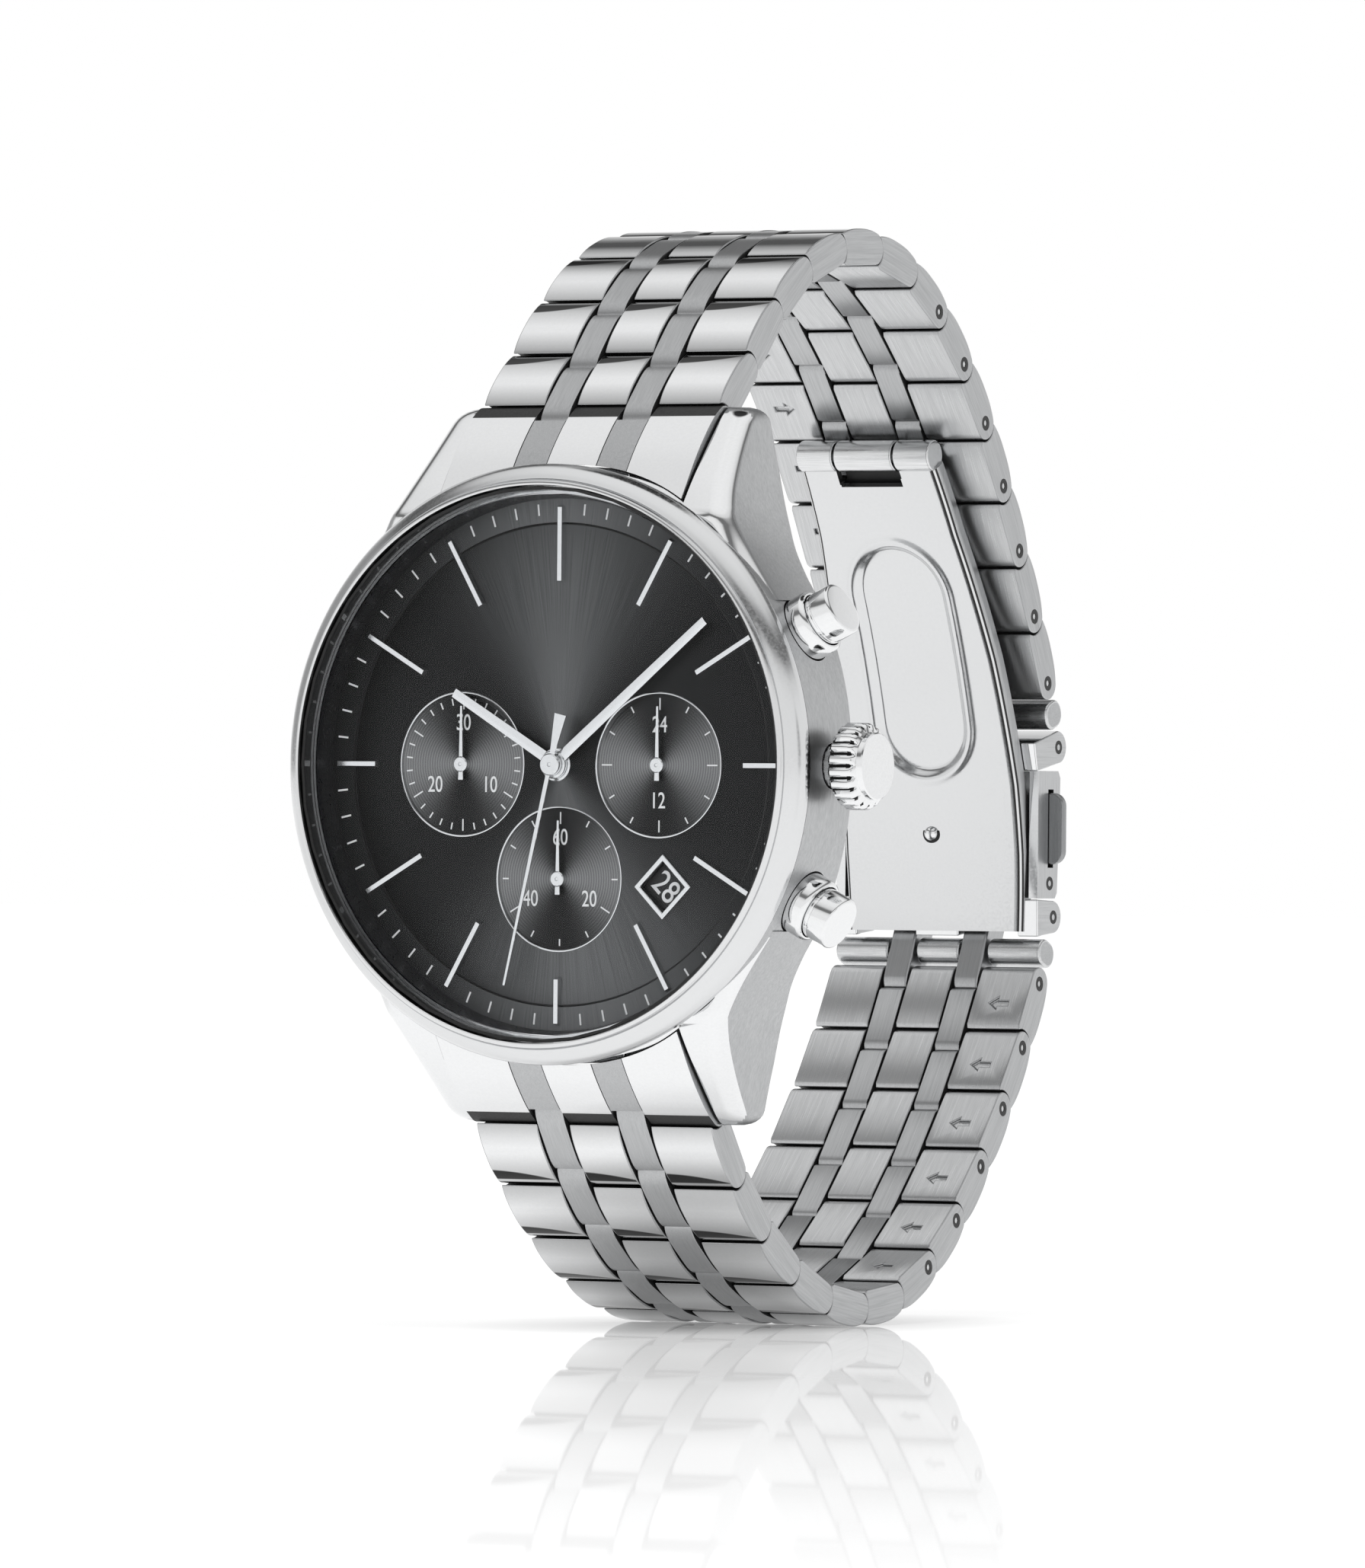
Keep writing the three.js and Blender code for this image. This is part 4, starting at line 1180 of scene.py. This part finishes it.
def wall_section(side):
    """Across one side wall of the plate, as (x, inner, outer)."""

    def section(angle):
        z = CLASP_CENTRE.y + PLATE_INNER * math.sin(math.radians(angle))
        width = plate_half_width(z)
        xs = [width - 0.6, width - 0.5, width - 0.12, width]
        inner = [PLATE_INNER + 0.42, PLATE_INNER + 0.4, PLATE_INNER + 0.5, PLATE_INNER + 0.62]
        outer = [PLATE_WALL - 0.1, PLATE_WALL, PLATE_WALL, PLATE_WALL - 0.1]
        points = [(side * x, i, o) for x, i, o in zip(xs, inner, outer)]
        return points if side > 0 else points[::-1]

    return section


def angle_steps(start, end, count):
    return [start + (end - start) * i / count for i in range(count + 1)]


def ear(hinge, base, spread, start, end):
    """A round ear about a hinge that stands on a curved sheet."""
    facing = math.degrees(math.atan2(hinge.z - CLASP_CENTRE.y, hinge.y - CLASP_CENTRE.x))
    foot = [Vector(clasp_point(facing + k * spread, base, 0)[1:]) for k in (1, -1)]
    top = arc((hinge.y, hinge.z), LINK_END, facing - 85, facing + 85, 16)
    return prism("ear", [*foot, *top], start, end)


def ears(hinge, base, spread, outer_from):
    c = columns(CLASP_HALF_WIDTH)
    spans = ((-c["centre"], c["centre"]), (outer_from, COVER_HALF_WIDTH), (-COVER_HALF_WIDTH, -outer_from))
    return [ear(hinge, base, spread, *span) for span in spans]


def add_pin_end(name, body, face, centre):
    """The end of a pin in its hole, on the side face towards 3 o'clock, ringed by a near-black disc of
    painted shadow for the hole's shade.
    """
    rim = bar_x(f"{name}_painted_hole_shadow", 0.5, face - 0.3, face + 0.01, centre, TINY)
    cut(rim, bar_x("opening", PIN_END_RADIUS, 0, BEYOND, centre, TINY))
    place(rim, body, [SHADOW_GAP])
    pin = bar_x(name, PIN_END_RADIUS, face - 0.3, face - 0.02, centre, TINY)
    place(pin, body, [ROUND_BRUSHED])


def add_inner_plate():
    top = KNUCKLE_ANGLE - 0.75
    slot_top, slot_half = KNUCKLE_ANGLE - 1.9, BARREL_HALF + 0.2
    angles = angle_steps(0.9, top, 210)

    def keep(angle, x):
        return not (angle > slot_top - 0.2 and abs(x + 0.05) < slot_half)

    sheet = bent_sheet("clasp_plate_sheet", angles, plate_section, keep)
    walls = [bent_sheet("wall", angles, wall_section(side), lambda angle, x: True) for side in (1, -1)]
    made = joined("clasp_plate_sheet", [sheet, *walls])
    finishes = [POLISHED_PLATE, SHADOW_GAP, BRUSHED_SIDE]
    node = ["clasp_inner_plate"]
    place(made, "clasp_plate", finishes, node, 0, None, long_grain, plate_finish)
    knuckle = knuckle_centre()
    spans = ((BARREL_HALF + 0.15, KNUCKLE_HALF), (-KNUCKLE_HALF, -BARREL_HALF - 0.15))
    barrels = [bar_x("barrel", KNUCKLE_RADIUS, *span, knuckle, 48) for span in spans]
    made = joined("clasp_plate_barrels", barrels)
    place(made, "clasp_plate", [BARREL], [], 0.14, None, across_grain)
    low = joined("clasp_plate_ears", ears(LOWER_PIVOT, PLATE_INNER + 0.4, 1.25, 6.75))
    place(low, "clasp_plate", [POLISHED, BRUSHED_EAR], [], 0.12, None, None, side_finish)
    add_pin_end("clasp_plate_pin_end", "clasp_plate", COVER_HALF_WIDTH, (LOWER_PIVOT.y, LOWER_PIVOT.z))
    dome = [(0, -0.5), (0.2, -0.47), (0.38, -0.37), (0.5, -0.2), (0.56, 0.05), (0.56, 0.3), (0, 0.3)]
    _, y, z = clasp_point(7.5, PLATE_INNER, 0)
    at_ball = Matrix.Translation((0, y, z))
    place(turned("clasp_detent_ball", dome, 40), "clasp_plate", [POLISHED], matrix=at_ball)
    # A flat near-black ring of painted shadow round the detent ball.
    groove = turned("clasp_detent_painted_shadow", [(0.5, -0.03), (0.7, -0.03), (0.7, 0.1), (0.5, 0.1)], 40)
    place(groove, "clasp_plate", [SHADOW_GAP], matrix=at_ball)


def add_outer_blade():
    angles = angle_steps(3.3, KNUCKLE_ANGLE - 0.9, 90)

    def section(angle):
        z = CLASP_CENTRE.y + PLATE_INNER * math.sin(math.radians(angle))
        width = plate_half_width(z) - 0.8
        xs = [-1, -0.985, -0.5, 0, 0.5, 0.985, 1]
        edge = [0.12, 0, 0, 0, 0, 0, 0.12]
        return [(x * width, BLADE_INNER + e, BLADE_OUTER - e) for x, e in zip(xs, edge)]

    def keep(angle, x):
        return not (angle > KNUCKLE_ANGLE - 2.2 and abs(x + 0.5) > BARREL_HALF + 1)

    sheet = bent_sheet("clasp_blade_sheet", angles, section, keep)
    # Painted shade on the blade's face towards the plate near the hinge, seen through the plate's slot.
    shaded_from = clasp_point(KNUCKLE_ANGLE - 3, PLATE_INNER, 0)[2]

    def finish(normal, centre):
        return 1 if centre.z > shaded_from and normal.y < 0 else 0

    node = ["clasp_outer_blade"]
    place(sheet, "clasp_blade", [BRUSHED, SHADOW_GAP], node, 0, None, long_grain, finish)
    barrel = bar_x("clasp_blade_barrel", KNUCKLE_RADIUS, -BARREL_HALF, BARREL_HALF, knuckle_centre(), 48)
    place(barrel, "clasp_blade", [BARREL], [], 0.14, None, across_grain)
    pivot = HINGES["clasp_blade"]
    outer = columns(CLASP_HALF_WIDTH)["outer"]
    lugs = joined("clasp_blade_ears", ears(pivot, BLADE_OUTER - 0.1, 0.95, outer))
    place(lugs, "clasp_blade", [POLISHED, BRUSHED_EAR], [], 0.12, None, None, side_finish)
    add_pin_end("clasp_blade_pin_end", "clasp_blade", COVER_HALF_WIDTH, (pivot.y, pivot.z))
    foot = prism("clasp_blade_foot", ((45.9, -8.6), (47, -8.6), (47, -7.4), (45.9, -7.4)), -4.5, 4.5)
    place(foot, "clasp_blade", [BRUSHED], [], 0.1)
    pin = pin_across("clasp_blade_pin", CLASP_HALF_WIDTH, (pivot.y, pivot.z))
    place(pin, "clasp_blade", [ROUND_BRUSHED])


def add_cover():
    outside = [(45.2, 0.1), (48.2, 0.1), (48.5, -0.4), (48.42, -3.4), (48.24, -6.4), (48.1, -8.8)]
    outside += [(47.8, -9.2), (45.2, -9.2)]
    inside = [(40, 2), (47.8, 2), (47.3, -11), (40, -11)]
    cover = prism("clasp_cover_shell", outside, -COVER_HALF_WIDTH, COVER_HALF_WIDTH)
    wall = COVER_HALF_WIDTH - 0.75
    cut(cover, prism("inside", inside, -wall, wall))
    notch = ((46.7, -6.95), (47.5, -6.95), (47.5, -1.25), (46.7, -1.25))
    for x in ((7, 9), (-9, -7)):
        cut(cover, prism("notch", notch, *x))

    def finish(normal, centre):
        # Painted shade on the faces in and round the notches.
        if abs(abs(centre.x) - 8) < 0.42 and -7 < centre.z < -1.2 and 46.6 < centre.y < 47.6:
            return 2
        return 1 if abs(normal.x) > 0.6 else 0

    finishes = [POLISHED, BRUSHED_EAR, SHADOW_GAP]
    place(cover, "clasp_blade", finishes, ["clasp_cover"], 0.12, None, long_grain, finish)
    add_pin_end("clasp_cover_pin_end", "clasp_blade", COVER_HALF_WIDTH, (47, -8.1))


def add_button(label, hour, side):
    """A push-piece with rounded ends that stands out of its notch in the cover's side."""
    high, low, out, corner = -1.5, -6.7, 9.62, 0.95
    rounded = [
        *arc((out - corner, low + corner), corner, -90, 0, 8),
        *arc((out - corner, high - corner), corner, 0, 90, 8),
    ]
    outline = [(p[0] * side, p[1]) for p in (*rounded, (6.6, high), (6.6, low))]
    made = prism(f"clasp_button_{hour}_cap", outline, 46.78, 47.42, axis=1)
    node = [f"clasp_button_{hour}"]
    place(made, f"clasp_button_{label}", [BRUSHED_BUTTON], node, 0.14, None, long_grain)


def add_clasp():
    add_inner_plate()
    add_outer_blade()
    add_cover()
    add_button("right", 3, 1)
    add_button("left", 9, -1)
    half = KNUCKLE_HALF - 0.1
    pin = bar_x("clasp_hinge_pin_bar", 0.5, -half, half, knuckle_centre(), 32)
    place(pin, "clasp_plate", [ROUND_BRUSHED], ["clasp_hinge_pin"])


# ---- CAD nodes that stay ----

KEPT = {
    "crystal_gasket": RUBBER,
    "crown_gasket": RUBBER,
    "movement": NICKEL,
    "crown_tube": ROUND_BRUSHED,
    "winding_stem": ROUND_BRUSHED,
    "spring_bar_12": ROUND_BRUSHED,
    "spring_bar_6": ROUND_BRUSHED,
}


def dress_cad_nodes():
    for node, material in KEPT.items():
        mesh = frame["nodes"][node].data
        mesh.materials.clear()
        mesh.materials.append(material)
        grain = mesh.attributes.new("grain", "FLOAT_VECTOR", "POINT")
        grain.data.foreach_set("vector", [c / MM for v in mesh.vertices for c in v.co])


# ---- studio ----


def add_camera():
    azimuth, elevation, roll = (math.radians(a) for a in (30.57, -0.27, 0.5))
    distance, right_shift, up_shift = 1000, 8.61, -1.28
    back = Vector((math.sin(azimuth), -math.cos(azimuth), 0)) * math.cos(elevation)
    back.z = math.sin(elevation)
    right = Vector((math.cos(azimuth), math.sin(azimuth), 0))
    up = back.cross(right)
    eye = back * distance + right * right_shift + up * up_shift + Vector((0, DIAL_Y, 0))
    turn = Matrix((right, up, back)).transposed() @ Matrix.Rotation(roll, 3, "Z")
    data = bpy.data.cameras.new("camera")
    data.sensor_width = 36
    data.lens = 328.3
    data.clip_start, data.clip_end = 0.05, 20
    camera = linked("camera", data)
    camera.matrix_world = Matrix.Translation(eye * MM) @ turn.to_4x4()
    bpy.context.scene.camera = camera


def add_floor():
    """A pale glossy floor under the bracelet, whose gloss fades out away from the watch, with a painted
    contact shadow where its glow dims round the bracelet's lowest hinge.
    """
    height = CAD_BOX[0].z - 0.00002
    size = 6
    corners = [(-size, -size, height), (size, -size, height), (size, size, height), (-size, size, height)]
    mesh = bpy.data.meshes.new("floor")
    mesh.from_pydata(corners, [], [(0, 1, 2, 3)])
    floor = linked("floor", mesh)
    s = shader("floor_white")
    place_of = s.add("NewGeometry").outputs["Position"]
    distance = s.add("VectorMath", {0: place_of}, operation="LENGTH").outputs["Value"]
    grazing = s.math("POWER", s.add("LayerWeight", {"Blend": 0.5}).outputs["Facing"], 4.0)
    fade = s.math("MULTIPLY", s.spread(distance, 0.66, 0.0, 0.03, 0.5), grazing)
    matt = s.add("BsdfDiffuse", {"Color": (0.3, 0.3, 0.3, 1)})
    # Painted contact shadow: the floor's glow dims in a flat oval round the lowest hinge.
    contact = min(HINGES.values(), key=lambda point: point.z) * MM
    beside = s.add("VectorMath", {0: place_of, 1: (0, contact.y, height)}, operation="SUBTRACT").outputs[0]
    beside = s.add("VectorMath", {0: beside, 1: (70, 45, 0)}, operation="MULTIPLY").outputs[0]
    reach = s.add("VectorMath", {0: beside}, operation="LENGTH").outputs["Value"]
    shade = s.spread(reach, 0.3, 0.84, 0.5, 1.25)
    glow = s.add("Emission", {"Color": (1, 1, 1, 1), "Strength": shade})
    both = s.add("AddShader", {0: matt.outputs[0], 1: glow.outputs[0]})
    gloss = s.add("BsdfGlossy", {"Color": (0.95, 0.95, 0.95, 1), "Roughness": 0.02})
    mesh.materials.append(s.end(s.add("MixShader", {0: fade, 1: both.outputs[0], 2: gloss.outputs[0]})))


def add_light(name, location, target, size, power):
    data = bpy.data.lights.new(name, "AREA")
    data.shape = "RECTANGLE"
    data.size, data.size_y = size
    data.energy = power
    light = linked(name, data)
    light.location = location
    light.rotation_mode = "QUATERNION"
    light.rotation_quaternion = (Vector(target) - Vector(location)).to_track_quat("-Z", "Y")
    light.visible_camera = False
    light.visible_glossy = False


# elevation in degrees, and the brightness of the room there
ROOM = ((-90, 0.35), (-35, 0.5), (-8, 0.85), (-4, 1.0), (18, 1.0), (26, 0.85), (31, 0.2), (38, 0.2))
ROOM += ((46, 0.8), (60, 1.0), (78, 1.05), (90, 0.75))
FLAGS = (
    # azimuth from the dial's front towards 3 o'clock, elevation, half-width, edge, brightness left
    (-95, 10, 22, 12, 0.4),
    (80, 5, 8, 6, 0.55),
    (30, -14, 9, 6, 0.4),
    (205, 66, 14, 4, 0.04),
    (205, 38, 20, 10, 0.5),
)


def add_world():
    """A white backdrop for the camera. Steel reflects a soft room with a dark band and dark flags."""
    world = bpy.data.worlds.new("studio")
    bpy.context.scene.world = world
    s = Shader(world, "OutputWorld")
    way = s.add("TexCoord").outputs["Generated"]
    elevation = s.math("ARCSINE", s.add("SeparateXYZ", {0: way}).outputs["Z"])
    ramp = s.add("ValToRGB", {0: s.spread(elevation, 0.0, 1.0, -math.pi / 2, math.pi / 2)})
    stops = ramp.color_ramp.elements
    for i, (angle, value) in enumerate(ROOM):
        position = (angle + 90) / 180
        stop = stops[0] if i == 0 else stops.new(position)
        stop.position, stop.color = position, (value, value, value, 1)
    stops.remove(stops[-1])
    light = ramp.outputs[0]
    for azimuth, angle, width, edge, left in FLAGS:
        turn, rise = math.radians(azimuth), math.radians(angle)
        centre = (math.sin(turn) * math.cos(rise), -math.cos(turn) * math.cos(rise), math.sin(rise))
        near = s.add("VectorMath", {0: way, 1: centre}, operation="DOT_PRODUCT").outputs["Value"]
        outer, inner = (math.cos(math.radians(width + k)) for k in (edge, -edge))
        mask = s.spread(near, 1.0, left, outer, inner, "SMOOTHSTEP")
        light = s.add("VectorMath", {0: light, 1: mask}, operation="MULTIPLY").outputs[0]
    seen = s.add("LightPath").outputs["Is Camera Ray"]
    room = s.add("Background", {0: light, 1: 1.0}).outputs[0]
    backdrop = s.add("Background", {0: (1, 1, 1, 1), 1: 1.0}).outputs[0]
    s.end(s.add("MixShader", {0: seen, 1: room, 2: backdrop}))


def add_studio():
    add_camera()
    add_floor()
    add_world()
    add_light("overhead", (0.05, -0.15, 0.6), (0, 0.01, 0), (0.35, 0.25), 2.2)
    view = bpy.context.scene.view_settings
    view.view_transform = "Standard"
    view.look = "None"


# ---- the watch ----

add_studio()
add_mid_case()
add_bezel()
add_crystal()
add_flange()
add_case_back()
add_dial_plate()
add_sub_dials()
add_indices()
add_date()
add_hands()
add_crown()
add_pusher(2, PUSHER_ANGLE)
add_pusher(4, -PUSHER_ANGLE)
add_end_link(12, 1)
add_end_link(6, -1)
add_strap("upper", UPPER_ROWS, 1, HINGES["clasp_blade"], 3.5)
add_strap("lower", LOWER_ROWS, -1, LOWER_PIVOT, 3.4)
add_clasp()
dress_cad_nodes()

bpy.context.view_layer.update()
